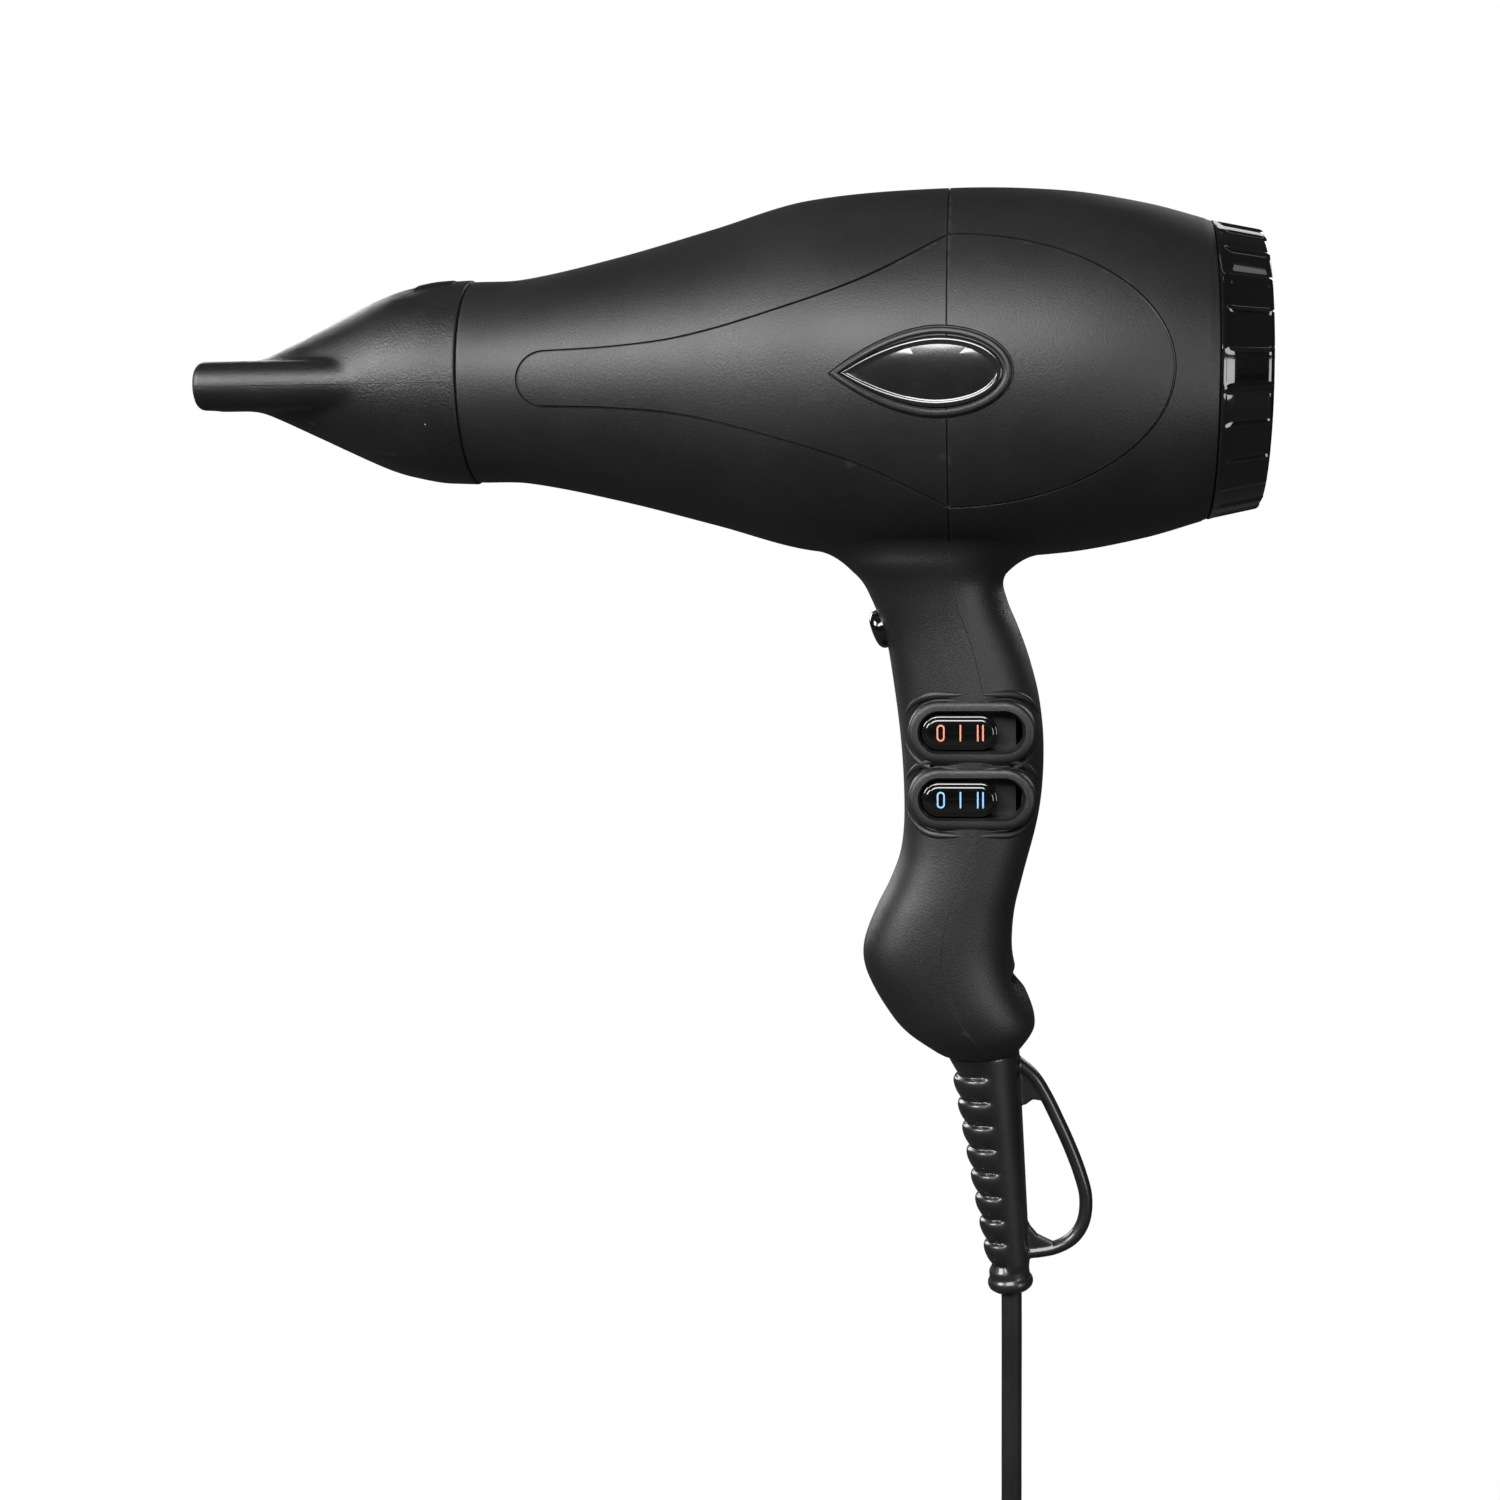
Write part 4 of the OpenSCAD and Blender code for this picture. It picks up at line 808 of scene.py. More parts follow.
# %% Badge outline: pointed at the front, round at the rear
BADGE_LEN, BADGE_H, BADGE_REAR = 38, 16.4, 13
badge_mid, badge_front = BADGE_REAR - 0.4 * BADGE_LEN, BADGE_REAR - BADGE_LEN


def badge_outline(grow, half=40):
    swing = np.sin(np.linspace(-pi / 2, pi / 2, 2 * half + 1))
    reach = np.where(swing < 0, badge_mid - badge_front + grow, BADGE_REAR + grow - badge_mid)
    h = BADGE_H / 2 + grow
    t = np.abs(swing)
    height = np.where(swing < 0, h * (1 - t**1.8), h * np.sqrt(np.maximum(0, 1 - t * t)))
    x = badge_mid + swing * reach
    return np.concatenate([np.stack([x, height], 1), np.stack([x, -height], 1)[-2:0:-1]])


def badge_rings(levels, side):
    """Rings of a badge-shaped patch: each level is a share of its size, a growth and a lift."""
    rings = []
    for share, grow, lift in levels:
        outline = badge_outline(grow)
        x = badge_mid + (outline[:, 0] - badge_mid) * share
        rings.append(on_barrel(x, outline[:, 1] * share, side, lift))
    return rings


# %% Panel outlines
PANEL_Z = 0.2
panel_half = [(-98.5, 6.7), (-82, 7.3), (-63.9, 9.2), (-41.9, 14.6), (-19.5, 22.1), (0.3, 32.1)]
OVAL_LEN, OVAL_H, NOSE_LEN = 52.8, 32.1, 7.0


def front_panel():
    """The bottle shape in front of the seam, from its top corner round to its bottom one."""
    x = np.linspace(0.3, -98.5, 60)
    h = along(panel_half, x)
    turn = np.linspace(pi / 2, 3 * pi / 2, 26)[1:-1]
    nose = np.stack([-98.5 + NOSE_LEN * np.cos(turn), 6.7 * np.sin(turn)], 1)
    return np.concatenate([np.stack([x, h], 1), nose, np.stack([x, -h], 1)[::-1]]) + [0, PANEL_Z]


def rear_oval():
    turn = np.linspace(pi / 2, -pi / 2, 90)
    return np.stack([OVAL_LEN * np.cos(turn), OVAL_H * np.sin(turn) + PANEL_Z], 1)


def groove_on_barrel(outline, side, radius, closed=False, lift=0.0, flat=1.0):
    path = on_barrel(outline[:, 0], outline[:, 1], side, lift)
    return tube("groove", path, radius, closed, 10, outward_from_axis(path), flat)


# %% Lay them on both sides
GROOVE_R, FINE_GROOVE_R, SEAM_R, DEEP = 0.35, 0.26, 0.2, 2.0
for side in (-1, 1):
    add(casing, groove_on_barrel(badge_outline(1.25), side, 0.95, True, -0.3))
    cut(casing, groove_on_barrel(badge_outline(2.4), side, FINE_GROOVE_R, True, 0, DEEP))
    for outline in (front_panel(), rear_oval()):
        cut(casing, groove_on_barrel(outline, side, GROOVE_R, False, 0, DEEP))
    recess = [(0.05, 0, 3), (1, 0.2, 3), (1, 0.2, -1.1), (0.7, 0, -1.1), (0.4, 0, -1.1), (0.05, 0, -1.1)]
    cut(casing, solid("recess", badge_rings(recess, side)))
print("panels and rims:", len(casing.data.polygons), "faces")


# %% Seam line round the barrel and down both sides of the handle
def seam_path(side):
    p = np.linspace(2, 99.5, 120)
    x = along(seam_edge, p)
    out = handle_side(p, x)
    if side < 0:
        for drop in SWITCH_DROPS:
            near = np.abs(drop_at(p) - drop) < SLOT_H / 2 + RIM_W - 1
            out = np.where(near, np.maximum(out, GRIP_SIDE + 0.02), out)
    return np.stack([x, side * out, -drop_at(p)], 1)


ring = circle(180) * BARREL_R
barrel_seam = np.column_stack([np.zeros(180), ring])
cut(casing, tube("seam", barrel_seam, SEAM_R, True, 8, outward_from_axis(barrel_seam), DEEP))
for side in (-1, 1):
    path = seam_path(side)
    cut(casing, tube("seam", path, 0.8 * SEAM_R, False, 8, np.tile([0.0, side, 0], (len(path), 1))))

# %% Part the casing into its front and rear shells
p = np.linspace(0, 102, 60)
region = np.concatenate([
    [[0, 100], [0, -BARREL_R]], np.stack([along(seam_edge, p), -drop_at(p)], 1), [[-200, -190], [-200, 100]]
])
front_region = solid("front_region", [
    np.column_stack([region[:, 0], np.full(len(region), y), region[:, 1]]) for y in (-100, 100)
])
front_shell = casing
front_shell.name = "front_casing"
rear_shell = twin(casing)
rear_shell.name = "rear_casing"
cut(rear_shell, twin(front_region))
combine(front_shell, [front_region], "INTERSECT")
finished(front_shell, "casing", "soft_touch", soft_touch, "front_shell")
finished(rear_shell, "casing", "soft_touch", soft_touch, "rear_shell")

# %% [markdown]
# ## Badges
# The badge is a lens of black lacquer in a raised bezel. It is left plain, with no name on it. Its
# bezel is part of its own mould: the skin climbs over a bead at the edge and sinks to a flat face.

# %% Left and right badge
bead = [
    (0.05, 0, 0.02), (0.3, 0, 0.02), (0.6, 0, 0.03), (0.8, 0, 0.03), (1, -1.9, 0.02), (1, -1.6, 0.06),
    (1, -1.35, 0.22), (1, -1.05, 0.36), (1, -0.7, 0.4), (1, -0.35, 0.36), (1, -0.1, 0.2),
    (1, 0, -0.05), (1, 0, -1), (0.6, 0, -1), (0.3, 0, -1), (0.05, 0, -1)
]
for name, side in (("left", -1), ("right", 1)):
    badge = solid(f"{name}_badge_lens", badge_rings(bead, side))
    finished(badge, "casing", "badge_black", badge_black, f"{name}_badge")

# %% [markdown]
# ## Nozzle
# The concentrator is a dome that squeezes into a flat duct. Both are round enough to be described by
# one radius for each direction, so a smooth maximum of the two radii blends them, fillet and all, in
# a single grid with no cutting.

# %% Radii of the dome and the duct
NOZZLE_LEN, MOUTH_W, MOUTH_H, NOZZLE_WALL, COLLAR = 69, 40, 12.3, 1.8, 10
dome_line = [
    (0, NOSE_R + 0.45), (4, NOSE_R + 0.3), (9, NOSE_R), (14, NOSE_R - 0.9), (20, NOSE_R - 2.4),
    (26, NOSE_R - 4.7), (42, NOSE_R - 12.1), (57.5, MOUTH_H / 2 - 0.1), (61, MOUTH_H / 2 - 1.6)
]
DOME_LEN = dome_line[-1][0]
ROUND_LEN, BLEND, DUCT_BLEND = 6, 1.3, 1.0
NOZZLE_AROUND = 288
nozzle_turn = np.arange(NOZZLE_AROUND) * 2 * pi / NOZZLE_AROUND


def duct_radius(shrink):
    """Distance from the axis to the flat duct's skin, in each direction."""
    r, reach = MOUTH_H / 2 - shrink, (MOUTH_W - MOUTH_H) / 2
    c, s = np.abs(np.cos(nozzle_turn)), np.abs(np.sin(nozzle_turn))
    flat = r / np.maximum(s, 1e-6)
    end = reach * c + np.sqrt(np.maximum(r * r - (reach * s) ** 2, 0))
    return np.where(flat * c < reach, flat, end)


def nozzle_ring(ahead, inset, shrink, soft):
    """Ring of the nozzle so far ahead of the barrel: the larger radius wins, with a soft change."""
    dome = along(dome_line, min(ahead, DOME_LEN)) - inset
    duct = duct_radius(shrink)
    r = np.full(NOZZLE_AROUND, dome)
    if ahead > ROUND_LEN:
        r = (dome + duct + np.sqrt((dome - duct) ** 2 + soft * soft)) / 2
    return np.column_stack([
        np.full(NOZZLE_AROUND, -FRONT_LEN - ahead), r * np.cos(nozzle_turn), r * np.sin(nozzle_turn)
    ])


# %% Nozzle skin, duct and collar
rings = [nozzle_ring(0.15, 0.5, 0, 0), nozzle_ring(0.25, 0.2, 0, 0), nozzle_ring(0.5, 0, 0, 0)]
for ahead in np.linspace(1, NOZZLE_LEN - 2.2, 110):
    rings.append(nozzle_ring(ahead, 0, 0, BLEND))
TIP_ROUND, TIP_THIN = 2.0, 1.35
for turn in np.linspace(0.15, 1, 7) * pi / 2:
    rings.append(nozzle_ring(NOZZLE_LEN - TIP_ROUND * (1 - sin(turn)), 0, TIP_THIN * (1 - cos(turn)), BLEND))
nozzle = solid("concentrator_nozzle", rings)
inside = [
    nozzle_ring(ahead, NOZZLE_WALL + 0.2, NOZZLE_WALL, DUCT_BLEND)
    for ahead in np.linspace(COLLAR, NOZZLE_LEN + 1, 50)
]
collar_r = NOSE_R - WALL - 0.15 + 0.3
cut(nozzle, solid("duct", inside))
cut(nozzle, turned("collar", [(-FRONT_LEN + 1, collar_r), (-FRONT_LEN - COLLAR - 0.5, collar_r)], 96))
for side in (-1, 1):
    ahead = np.linspace(1, NOZZLE_LEN - TIP_ROUND - 0.5, 60)
    reach = [np.abs(nozzle_ring(a, 0, 0, BLEND)[0, 1]) for a in ahead]
    path = np.column_stack([-FRONT_LEN - ahead, side * (np.array(reach) - 0.05), np.zeros(60)])
    add(nozzle, tube("mould_line", path, 0.17, False, 8))
finished(nozzle, "nozzle", "soft_touch", nozzle_black, "nozzle", crease=40)

# %% Polished strip on top of the collar
strip_x = np.linspace(-FRONT_LEN - 4.5, -FRONT_LEN - 14.5, 14)
strip = []
for x in strip_x:
    ends = min(abs(x - strip_x[0]), abs(x - strip_x[-1]))
    top = float(along(dome_line, -x - FRONT_LEN))
    rise = 0.34 * min(1.0, ends / 0.8)
    y = np.array([-8, -7.6, -4, 0, 4, 7.6, 8])
    crown = np.sqrt((top + np.array([-0.3, rise, rise, rise, rise, rise, -0.3])) ** 2 - y * y)
    base = np.sqrt((top - 0.5) ** 2 - y * y)
    strip.append(np.column_stack([np.full(14, x), np.append(y, y[::-1]), np.append(crown, base[::-1])]))
collar_strip = solid("collar_strip", strip)
finished(collar_strip, "nozzle", "gloss_black", gloss_black)

# %% [markdown]
# ## Filter cap
# The cap is polished black, with narrow ribs for the fingers. It is a closed outline of pairs of place
# and radius turned about the axis, and the ribs are left by sinking the skin between them. The guard
# rings inside it are bars, joined to it one by one.

# %% Cap
CAP_END, CAP_END_R, CAP_RIBS, RIB_DEPTH = REAR_LEN + 12.8, 34, 24, 0.6
SEAT_R, MESH_X, MESH_T = CAP_END_R - 0.9, REAR_LEN + 6.6, 0.8
cap_bore, cap_face = SEAT_R + 0.3, MESH_X + MESH_T
cap_turn = np.arange(CAP_RIBS * 16) * 2 * pi / (CAP_RIBS * 16)
rib_share = (cap_turn * CAP_RIBS / (2 * pi)) % 1
rib_dip = 1 - np.exp(-(((rib_share - 0.5) / 0.06) ** 2))
lean = (TAIL_R - CAP_END_R) / (CAP_END - REAR_LEN)
skin_x = np.linspace(REAR_LEN + 1.3, CAP_END - 1.1, 18)
cap_profile = [
    (REAR_LEN + 0.15, cap_bore, 0), (REAR_LEN + 0.15, TAIL_R - 0.5, 0),
    (REAR_LEN + 0.35, TAIL_R - 0.12, 0), (REAR_LEN + 0.8, TAIL_R - 0.1, 0.1)
]
cap_profile += [(x, TAIL_R - lean * (x - REAR_LEN), min(1, (x - REAR_LEN - 0.6) / 2.4)) for x in skin_x]
cap_profile += [
    (CAP_END - 0.7, CAP_END_R + 0.05, 1), (CAP_END - 0.3, CAP_END_R - 0.3, 1),
    (CAP_END - 0.05, CAP_END_R - 0.8, 0.8), (CAP_END, CAP_END_R - 1.3, 0),
    (CAP_END, CAP_END_R - 4.2, 0), (CAP_END - 0.2, CAP_END_R - 4.8, 0),
    (CAP_END - 0.7, CAP_END_R - 5, 0), (cap_face, CAP_END_R - 5, 0), (cap_face, cap_bore, 0)
]
rings = []
for x, r, ribbed in cap_profile:
    radius = r - RIB_DEPTH * ribbed * rib_dip
    rings.append(np.column_stack([
        np.full(len(cap_turn), x), radius * np.cos(cap_turn), radius * np.sin(cap_turn)
    ]))
cap = solid("ribbed_filter_cap", rings, looped=True)

# %% Guard rings and spokes of the cap
GUARD_X = cap_face + 1.3
for r in (6, 12, 18, 24):
    hoop = np.column_stack([np.full(96, GUARD_X), circle(96) * r])
    add(cap, tube("hoop", hoop, 0.8, True, 12, outward_from_axis(hoop)))
for k in range(8):
    turn = k * pi / 4 + pi / 8
    out = np.linspace(2, CAP_END_R - 4.6, 12)
    spoke = np.column_stack([np.full(12, GUARD_X), out * cos(turn), out * sin(turn)])
    add(cap, tube("spoke", spoke, 0.85, False, 12, np.tile([1.0, 0, 0], (12, 1))))
hub = [(-1, 3.2), (-0.6, 3.6), (0.3, 3.6), (0.8, 3.2), (1, 2.2)]
add(cap, turned("hub", [(GUARD_X + x, r) for x, r in hub], 64))
finished(cap, "filter_cap", "gloss_black", gloss_black, "filter_cap", crease=30)

# %% [markdown]
# ## Filter mesh
# The dust filter is woven from fine wire. Two sets of wires cross at right angles, and each rises and
# falls over the other set, half a wave apart from its neighbour.

# %% Woven wires in a rim
WEAVE, WIRE_R, WEAVE_RISE = 1.5, 0.16, 0.19
wires = []
filter_r = SEAT_R - 0.6
count = int(filter_r / WEAVE)
for k in range(-count, count + 1):
    half = sqrt(filter_r**2 - (k * WEAVE) ** 2)
    t = np.arange(-half, half + WEAVE / 4, WEAVE / 2)
    wave = WEAVE_RISE * np.cos(pi * (t / WEAVE + k))
    for flip in (1, -1):
        x = MESH_X + MESH_T / 2 + flip * wave
        place = np.full(len(t), k * WEAVE)
        path = np.column_stack([x, t, place] if flip > 0 else [x, place, t])
        wires.append(tube("wire", path, WIRE_R, False, 5, np.tile([1.0, 0, 0], (len(t), 1))))
rim = [
    (MESH_X, filter_r - 0.6), (MESH_X, filter_r + 0.55),
    (MESH_X + MESH_T, filter_r + 0.55), (MESH_X + MESH_T, filter_r - 0.6)
]
wires.append(turned("rim", rim, 128, looped=True))
mesh_piece = joined("woven_filter_mesh", wires)
finished(mesh_piece, "filter_cap", "filter_steel", filter_steel, "filter_mesh")

# %% [markdown]
# ## Sliders
# Each slider is a domed, polished bar that stands just proud of its rim. The marks are thin raised
# blocks whose roots sink into it, so that their faces can follow the dome: an oval 0, one bar and two
# bars, warm on the heat slider and cool on the speed slider.

# %% Slider bars and their marks
SLIDER_TOP = PAD_FACE + 0.5
STEM_LEN, STEM_H, STEM_TIP = 5, 4, PAD_ROOT - 1.6
slider_x = SWITCH_X - TRAVEL / 2
MARK_H, MARK_W, STROKE = 4.2, 2.0, 0.4
MARK_PROUD, MARK_ROOT = 0.08, 0.2
NOUGHT_X, BARS_X = -4.7, (0.2, 4.5, 5.8)


def crown(x, z):
    """Height of the slider's gently domed face."""
    return SLIDER_TOP - 0.22 * np.square(z / (SLIDER_H / 2)) - 0.10 * np.square(x / (SLIDER_LEN / 2))


def slider_bar(name, drop):
    rings = []
    for inset, below in (
        (0, 3), (0, 1.2), (0.08, 0.92), (0.25, 0.74), (0.5, 0.66), (0.62, 0.66), (0.74, 0.5), (0.9, 0.25),
        (1.15, 0.08), (1.5, 0.01), (2.1, 0), (2.8, 0), (3.6, 0), (4.3, 0)
    ):
        outline = stadium(SLIDER_LEN - 2 * inset, SLIDER_H - 2 * inset)
        rings.append((outline, -crown(outline[:, 0], outline[:, 1]) + below))
    bar = solid(name, side_rings(rings, slider_x, drop))
    stem = np.array([(-STEM_LEN, -STEM_H), (STEM_LEN, -STEM_H), (STEM_LEN, STEM_H), (-STEM_LEN, STEM_H)]) / 2
    return add(bar, solid("stem", side_rings([(stem, -SLIDER_TOP + 2.4), (stem, -STEM_TIP)], slider_x, drop)))


def mark_block(name, outline, x, drop):
    face = -crown(outline[:, 0] + x, outline[:, 1])
    levels = [(outline, face + MARK_ROOT), (outline, face - MARK_PROUD)]
    return solid(name, side_rings(levels, slider_x + x, drop))


def slider_marks(name, drop):
    bar = stadium(MARK_H, STROKE, 24)[:, ::-1]
    marks = [mark_block("bar", bar, x, drop) for x in BARS_X]
    outer = stadium(MARK_H, MARK_W, 48)[:, ::-1]
    inner = stadium(MARK_H - 2 * STROKE, MARK_W - 2 * STROKE, 48)[:, ::-1]
    levels = [(outer, MARK_ROOT), (outer, -MARK_PROUD), (inner, -MARK_PROUD), (inner, MARK_ROOT)]
    ring = side_rings(
        [(o, -crown(o[:, 0] + NOUGHT_X, o[:, 1]) + d) for o, d in levels], slider_x + NOUGHT_X, drop
    )
    marks.append(solid("nought", ring, looped=True))
    return joined(name, marks)


for kind, drop, paint in (("heat", HEAT_DROP, warm_mark), ("speed", SPEED_DROP, cool_mark)):
    bar = slider_bar(f"{kind}_slider_bar", drop)
    finished(bar, f"{kind}_slider", "gloss_black", gloss_black, f"{kind}_slider", crease=50)
    finished(slider_marks(f"{kind}_slider_marks", drop), f"{kind}_slider", "gloss_black", paint)

# %% [markdown]
# ## Cool-shot button
# The button is a polished dome in the front of the handle, with a collar inside that keeps it from
# falling out. It is turned about its own tilted axis.

# %% Button
OUT, FLANGE, STEM = 3.0, 3.6, 7.5
button_profile = [
    (-OUT, 0.3), (-OUT + 0.04, 1.6), (-OUT + 0.16, 2.7), (-OUT + 0.42, 3.7), (-OUT + 0.85, 4.4),
    (-OUT + 1.45, 4.85), (-OUT + 2.2, BUTTON_R), (FLANGE, BUTTON_R), (FLANGE, BUTTON_R + 1),
    (FLANGE + 1, BUTTON_R + 1), (FLANGE + 1, 2), (STEM, 2)
]
button = solid("cool_shot_button", round_bar(button_at, button_in, 1, button_profile, 72))
finished(button, "cool_button", "gloss_black", gloss_black, "cool_button", crease=50)

# %% [markdown]
# ## Strain relief
# This is one soft moulding: a smooth spine at the rear, overlapping scallops at the front, a hanging
# loop and a collar at the free end. Its parts are put together roughly, then a voxel remesh melts them
# into one skin, and smoothing gives the soft fillets that rubber has.

# %% Relief body
RELIEF_R, RELIEF_END_R, SCALLOPS, SCALLOP_DEPTH = 9.2, 5.2, 8, 1.6
SCALLOP_START, NECK_R = 5, 6.9
pitch = (RELIEF_LEN - 13) / SCALLOPS
relief_turn = np.arange(160) * 2 * pi / 160
relief_side = np.array([cos(RELIEF_LEAN), 0, sin(RELIEF_LEAN)])


def relief_ring(s, radius, dip=0.0):
    """Ring across the relief at a distance down it; the dip only reaches round its front."""
    front = np.clip((0.18 - np.cos(relief_turn)) / 0.36, 0, 1)
    r = radius - dip * front * front * (3 - 2 * front)
    centre = relief_top + s * relief_down
    return centre + r[:, None] * (
        np.cos(relief_turn)[:, None] * relief_side + np.sin(relief_turn)[:, None] * np.array([0, 1, 0])
    )


def taper_radius(s):
    return RELIEF_R + (RELIEF_END_R - RELIEF_R) * s / RELIEF_LEN


rings = [
    relief_ring(-7, NECK_R), relief_ring(-0.8, NECK_R), relief_ring(-0.6, RELIEF_R - 0.2),
    relief_ring(0.5, RELIEF_R)
]
for i in range(SCALLOPS * 14 + 1):
    s = SCALLOP_START + i * pitch / 14
    u = (i / 14) % 1
    swell_here = max(0.0, sin(pi * u**0.62)) ** 0.6
    rings.append(relief_ring(s, taper_radius(s), SCALLOP_DEPTH * (1 - swell_here)))
for s, r in (
    (RELIEF_LEN - 6, 0.1), (RELIEF_LEN - 4.2, 0.15), (RELIEF_LEN - 3.4, 0.7), (RELIEF_LEN - 2.4, 0.8),
    (RELIEF_LEN - 1.4, 0.5), (RELIEF_LEN - 0.5, -0.6), (RELIEF_LEN, -2.0)
):
    rings.append(relief_ring(s, RELIEF_END_R + r))
relief = solid("scalloped_relief", rings)

# %% Hanging loop and the webs where it grows out of the spine
loop_line = [
    (8, 2), (12.6, 6), (15.8, 11), (19.2, 18), (22.3, 25), (24.9, 32), (26.5, 38.5), (26, 45), (23.4, 49.6),
    (19, 52.4), (14, 53.6), (9.5, 54)
]
loop_path = through([(RELIEF_X + x, 0, -HANDLE_LEN - d) for x, d in loop_line], 0.8)
add(relief, tube("loop", loop_path, 1.75, False, 20, np.tile([0.0, 1, 0], (len(loop_path), 1)), 1.25))


def web(corners, thick=1.6):
    """A flat web between the spine and the loop, given by (behind, below) corners."""
    outline = np.array([(RELIEF_X + x, -HANDLE_LEN - d) for x, d in corners])
    return solid("web", [
        np.column_stack([outline[:, 0], np.full(len(outline), y), outline[:, 1]]) for y in (-thick, thick)
    ])


add(relief, web([
    (6, 1), (9, 2), (12.6, 6), (15.8, 11), (16.9, 13.6), (15, 12.4), (12.6, 12.2), (10.8, 13.6), (6, 14)
]))
add(relief, web([(9, 40), (10.3, 43), (11.6, 46.4), (14, 49.3), (17.6, 51), (19, 52), (14, 53.6), (9, 54)]))
melt = relief.modifiers.new("melt", "REMESH")
melt.mode, melt.voxel_size = "VOXEL", 0.3 * MM
soften = relief.modifiers.new("soften", "SMOOTH")
soften.iterations, soften.factor = 2, 0.5
applied(relief)
bore_path = round_bar(relief_top - 8 * relief_down, relief_down, RELIEF_LEN + 9, [(0, 2.8), (1, 2.8)], 32)
cut(relief, solid("cord_bore", bore_path))
finished(relief, "casing", "gloss_black", relief_rubber, "strain_relief", crease=60)

# %% [markdown]
# ## Plug, pins and ties
# The plug's body is one soft block that narrows to a ribbed sleeve round the cord. Its rings go from
# round to wide and flat, with finger grips pressed into its sides. Two flat straps hold the coil, and
# the cord gets its finish and is tied to the casing here too, because its plug, pins and straps belong to it.

# %% Plug body
PLUG_W, PLUG_T, PLUG_TAIL = 35.5, 15.5, -24
PLUG_FRONT = PLUG_TAIL - 42
plug_turn = circle(96)


def plug_ring(x, wide, thick, power):
    c, s = plug_turn[:, 0], plug_turn[:, 1]
    y = wide / 2 * np.sign(c) * np.abs(c) ** (2 / power)
    z = thick / 2 * np.sign(s) * np.abs(s) ** (2 / power)
    return np.column_stack([np.full(96, x), y + TAIL_Y, z + PLUG_Z])


rings = []
for i in range(33):
    share = i / 32
    ribbed = 0.9 * (0.5 - 0.5 * cos(2 * pi * 5 * share)) if share < 0.95 else 0
    size = 2 * (3.6 + 1.9 * share) - ribbed
    rings.append(plug_ring(PLUG_TAIL - 16 * share, size, size, 2))
for share in np.linspace(0, 1, 9)[1:]:
    ease = share * share * (3 - 2 * share)
    rings.append(plug_ring(PLUG_TAIL - 16 - 5 * share, 11 + 20.5 * ease, 11 + 2.5 * ease, 2 + 0.6 * ease))
for i in range(25):
    share = i / 24
    grip = 1.3 * max(0, sin(pi * share)) ** 0.5 * (0.6 + 0.4 * cos(2 * pi * 5 * share))
    widen = 31.5 + 4 * min(1, share * 3) - grip
    rings.append(plug_ring(PLUG_TAIL - 21.5 - 19 * share, widen, 13.5 + 2 * min(1, share * 3), 2.8))
for x, inset in ((-41.2, 0.1), (-41.6, 0.5), (-41.9, 1.1), (-42, 1.8)):
    rings.append(plug_ring(PLUG_TAIL + x, PLUG_W - 2 * inset, PLUG_T - 2 * inset, 2.8))
plug = solid("moulded_plug", rings)
finished(plug, "casing", "satin_black", satin_black, "plug_body", crease=50)


# %% Pins with rounded tips
def pin(y):
    profile = [(-6, 2.4), (0, 2.4), (17.2, 2.4), (18.1, 2.15), (18.7, 1.7), (19, 1.0)]
    return solid("pin", round_bar([PLUG_FRONT, y, PLUG_Z], [-1, 0, 0], 1, profile, 48))


pins = joined("plug_pin_pair", [pin(TAIL_Y - 9.5), pin(TAIL_Y + 9.5)])
finished(pins, "casing", "pin_metal", pin_metal, "plug_pins", crease=50)

# %% Ties round the coil
COIL_IN, COIL_OUT, COIL_H, TIE_W, TIE_T = 18.7, 43.3, 21.8, 6, 0.8


def tie(turn):
    """A flat strap round the coil's turns, with round corners."""
    rings = []
    for width in (-0.5, 0.5):
        for grow in ((0.2, TIE_T - 0.05) if width < 0 else (TIE_T - 0.05, 0.2)):
            corner_r = 5 + grow
            reach_r, reach_z = (COIL_OUT - COIL_IN) / 2 + grow - corner_r, COIL_H / 2 + grow - corner_r
            angle = (np.arange(96) + 0.5) * 2 * pi / 96
            r = (COIL_IN + COIL_OUT) / 2 + np.sign(np.cos(angle)) * reach_r + corner_r * np.cos(angle)
            z = GROUND_Z + COIL_H / 2 + np.sign(np.sin(angle)) * reach_z + corner_r * np.sin(angle)
            across = width * TIE_W
            rings.append(np.column_stack([
                COIL_X + r * cos(turn) - across * sin(turn), COIL_Y + r * sin(turn) + across * cos(turn), z
            ]))
    return solid("tie", rings, looped=True)


ties = joined("coil_straps", [tie(0), tie(pi)])
finished(ties, "casing", "cord_rubber", satin_black, "coil_ties", crease=40)
mains_cord.data.materials.append(cord_rubber)
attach(mains_cord, "casing")
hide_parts("cord_lead", "cord_coil", "cord_tail")

# %% [markdown]
# ## Finishes of the pieces kept from the frame
# The heater, motor, fan and switches already have their true shape, so they only change their material.

# %% Dress the inner pieces
inner_finishes = {
    satin_black: ["outlet_ring", "air_guide", "impeller", "rear_grille", "filter_seat", "heat_switch",
                  "speed_switch", "ion_module", "cool_switch", "cord_clamp"],
    gold_grille: ["outlet_grille", "ion_needle"], mica: ["heat_shield", "heater_frame"],
    heater_wire: ["heater_windings"], copper: ["stator_windings", "thermostat"], steel: [
        "motor_shaft", "motor_bearings", "handle_screw", "clamp_screws", "thermal_fuse"],
    aluminium: ["motor_can", "stator_core"], magnet_grey: ["motor_magnet"], circuit_board: ["control_board"],
    cord_rubber: ["inner_cord"], wire_sheath: ["lead_wires", "wire_loom"],
}
for paint, names in inner_finishes.items():
    for name in names:
        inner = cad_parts[name]
        inner.data.materials.clear()
        inner.data.materials.append(paint)
print("dressed:", sum(len(names) for names in inner_finishes.values()), "frame pieces")

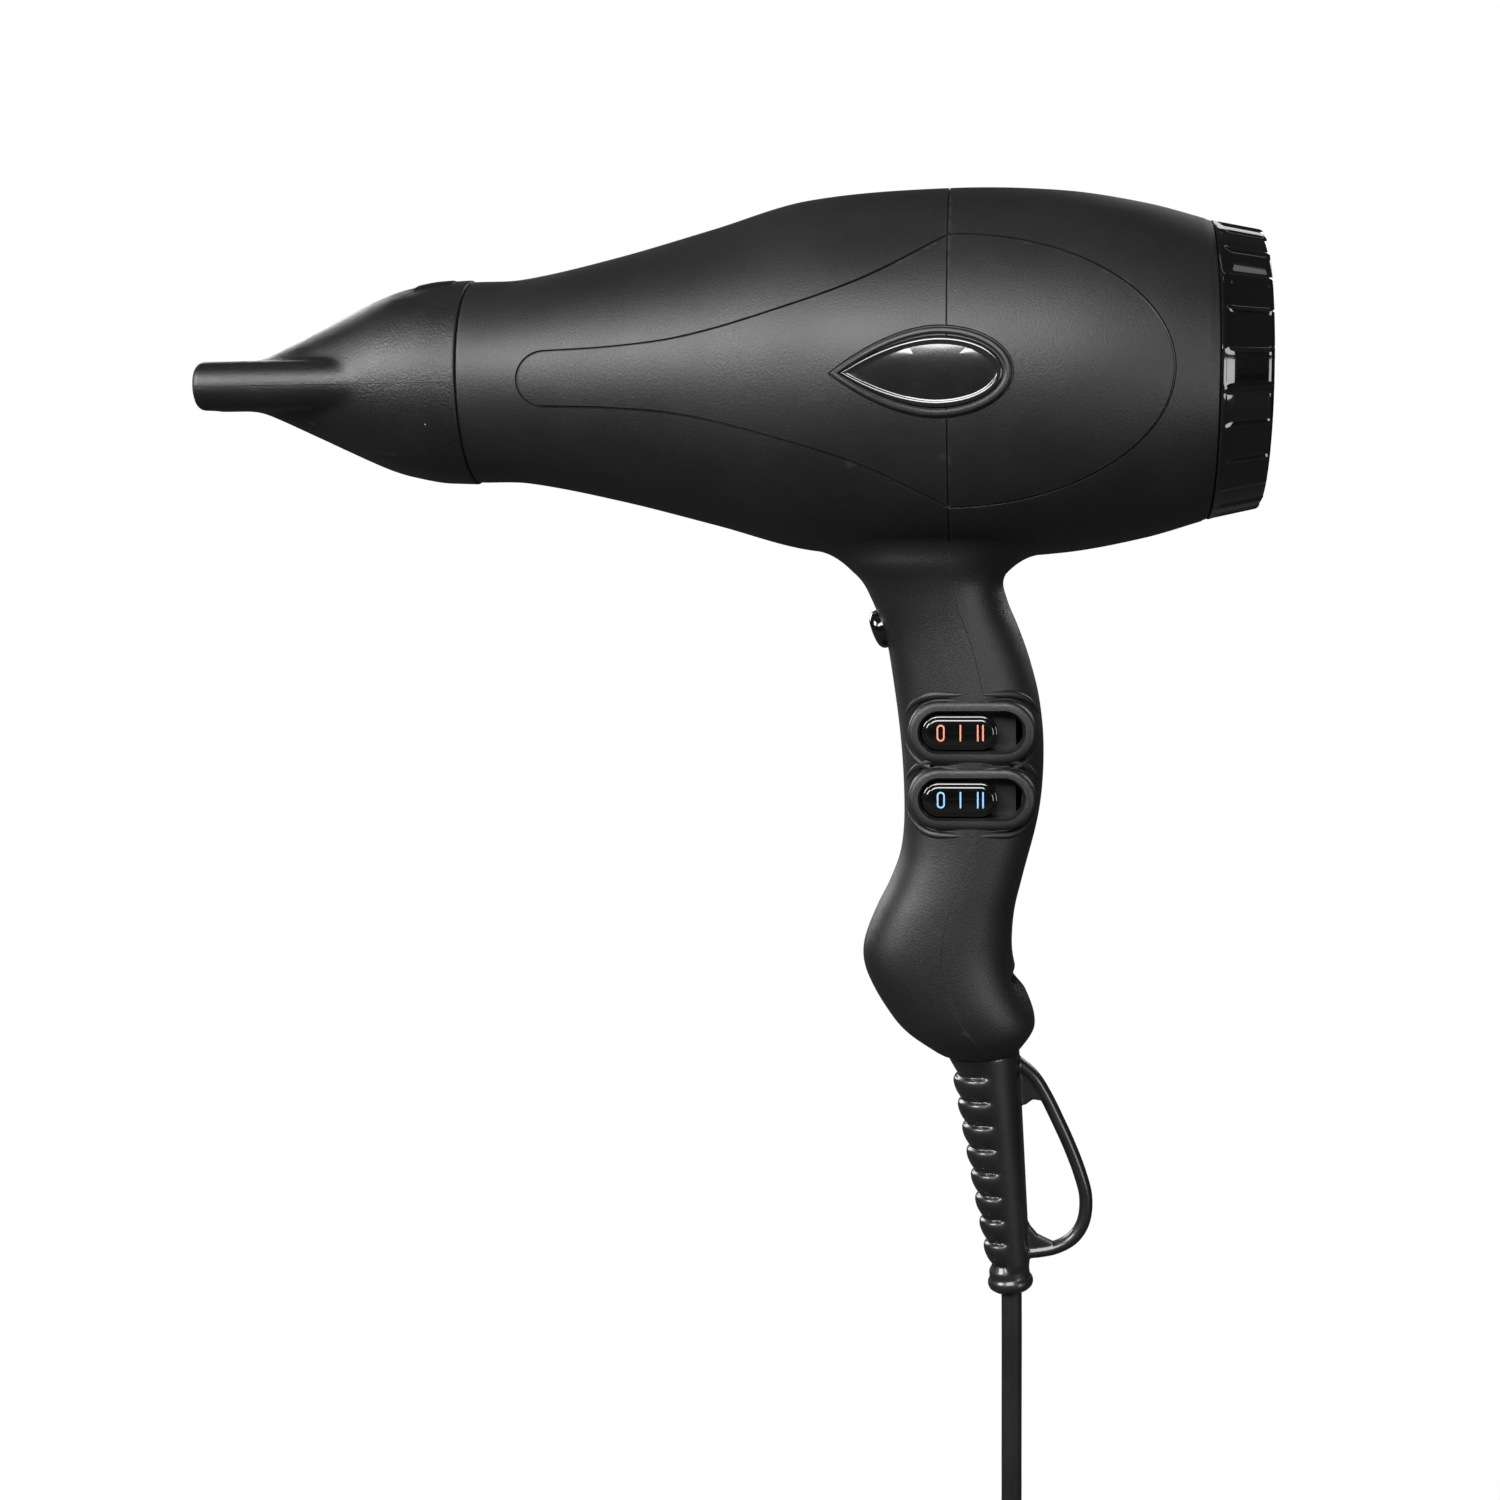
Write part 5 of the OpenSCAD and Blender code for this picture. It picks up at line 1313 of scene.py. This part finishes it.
# %% [markdown]
# ## Floor, world and lights
# The floor is pale near the dryer, where it catches its soft shadow, and fades to pure white further
# out. The world is white to the camera and dim to the dryer, so black plastic stays black. The key
# softbox stands in front and above, and a second one lights the left flank. A weak one at the lower
# right fills the shadow side, a thin strip overhead draws a line along the top, and three behind
# separate the edges and light the far side.

# %% Floor
floor_mesh = bpy.data.meshes.new("floor")
FLOOR_HALF = 6.0
floor_corners = [(FLOOR_HALF * x, FLOOR_HALF * y, cad_low.z) for x, y in ((-1, -1), (1, -1), (1, 1), (-1, 1))]
floor_mesh.from_pydata(floor_corners, [], [(0, 1, 2, 3)])
floor_piece = new_object("floor", floor_mesh)
pale = bpy.data.materials.new("pale_floor")
pale.use_nodes = True
tree = pale.node_tree
matt = tree.nodes["Principled BSDF"]
matt.inputs["Base Color"].default_value = (0.8, 0.8, 0.8, 1)
matt.inputs["Roughness"].default_value = 0.9
matt.inputs["Specular IOR Level"].default_value = 0.1
dull = node(tree, "BsdfDiffuse", {"Color": (0.06, 0.06, 0.06, 1)})
white = node(tree, "Emission", {"Color": (1, 1, 1, 1), "Strength": 1.0})
place = node(tree, "TexCoord")
reach = node(tree, "VectorMath", {0: place.outputs["Object"]}, operation="LENGTH")
fade = node(tree, "MapRange", {
    "Value": reach.outputs["Value"], "From Min": 0.1, "From Max": 0.45, "To Min": 0.8,
})
pale_floor = node(tree, "MixShader", {0: fade.outputs[0], 1: matt.outputs[0], 2: white.outputs[0]})
seen = node(tree, "LightPath")
both = node(tree, "MixShader", {
    0: seen.outputs["Is Camera Ray"], 1: dull.outputs[0], 2: pale_floor.outputs[0],
})
tree.links.new(both.outputs[0], tree.nodes["Material Output"].inputs["Surface"])
floor_mesh.materials.append(pale)

# %% World
world = bpy.data.worlds.new("studio")
bpy.context.scene.world = world
world.use_nodes = True
tree = world.node_tree
backdrop = node(tree, "Background", {"Color": (1, 1, 1, 1), "Strength": 1.0})
dim = tree.nodes["Background"]
dim.inputs["Color"].default_value = (1, 1, 1, 1)
dim.inputs["Strength"].default_value = 0.035
seen = node(tree, "LightPath")
blend = node(tree, "MixShader", {0: seen.outputs["Is Camera Ray"], 1: dim.outputs[0], 2: backdrop.outputs[0]})
tree.links.new(blend.outputs[0], tree.nodes["World Output"].inputs["Surface"])
bpy.context.scene.view_settings.view_transform = "Standard"


# %% Lights
def softbox(name, at, towards, size, power):
    lamp = bpy.data.lights.new(name, "AREA")
    lamp.shape, lamp.size, lamp.size_y, lamp.energy = "RECTANGLE", size[0], size[1], power
    box = new_object(name, lamp)
    box.location = at
    box.rotation_mode = "QUATERNION"
    box.rotation_quaternion = (Vector(towards) - Vector(at)).to_track_quat("-Z", "Y")
    return box


softbox("key_front", (-0.15, -1.0, 0.56), (-0.03, 0, 0.04), (0.8, 0.45), 18)
softbox("side_left", (-0.95, -0.55, 0.5), (-0.08, 0, 0.06), (0.5, 0.45), 16)
softbox("low_right", (0.8, -0.7, -0.02), (0.02, 0, 0), (0.4, 0.45), 3.5)
softbox("top_strip", (0.1, 0.15, 0.95), (0.02, 0, 0.04), (1.3, 0.08), 0.4)
softbox("rim_behind", (0.35, 0.95, 0.5), (0, 0, 0), (0.5, 0.3), 0.5)
softbox("back_left", (-0.75, 0.95, 0.3), (0, 0, 0), (0.45, 0.55), 6)
softbox("back_right", (0.6, 0.95, 0.45), (0, 0, 0), (0.45, 0.55), 2.5)
print("lights:", len(bpy.data.lights))
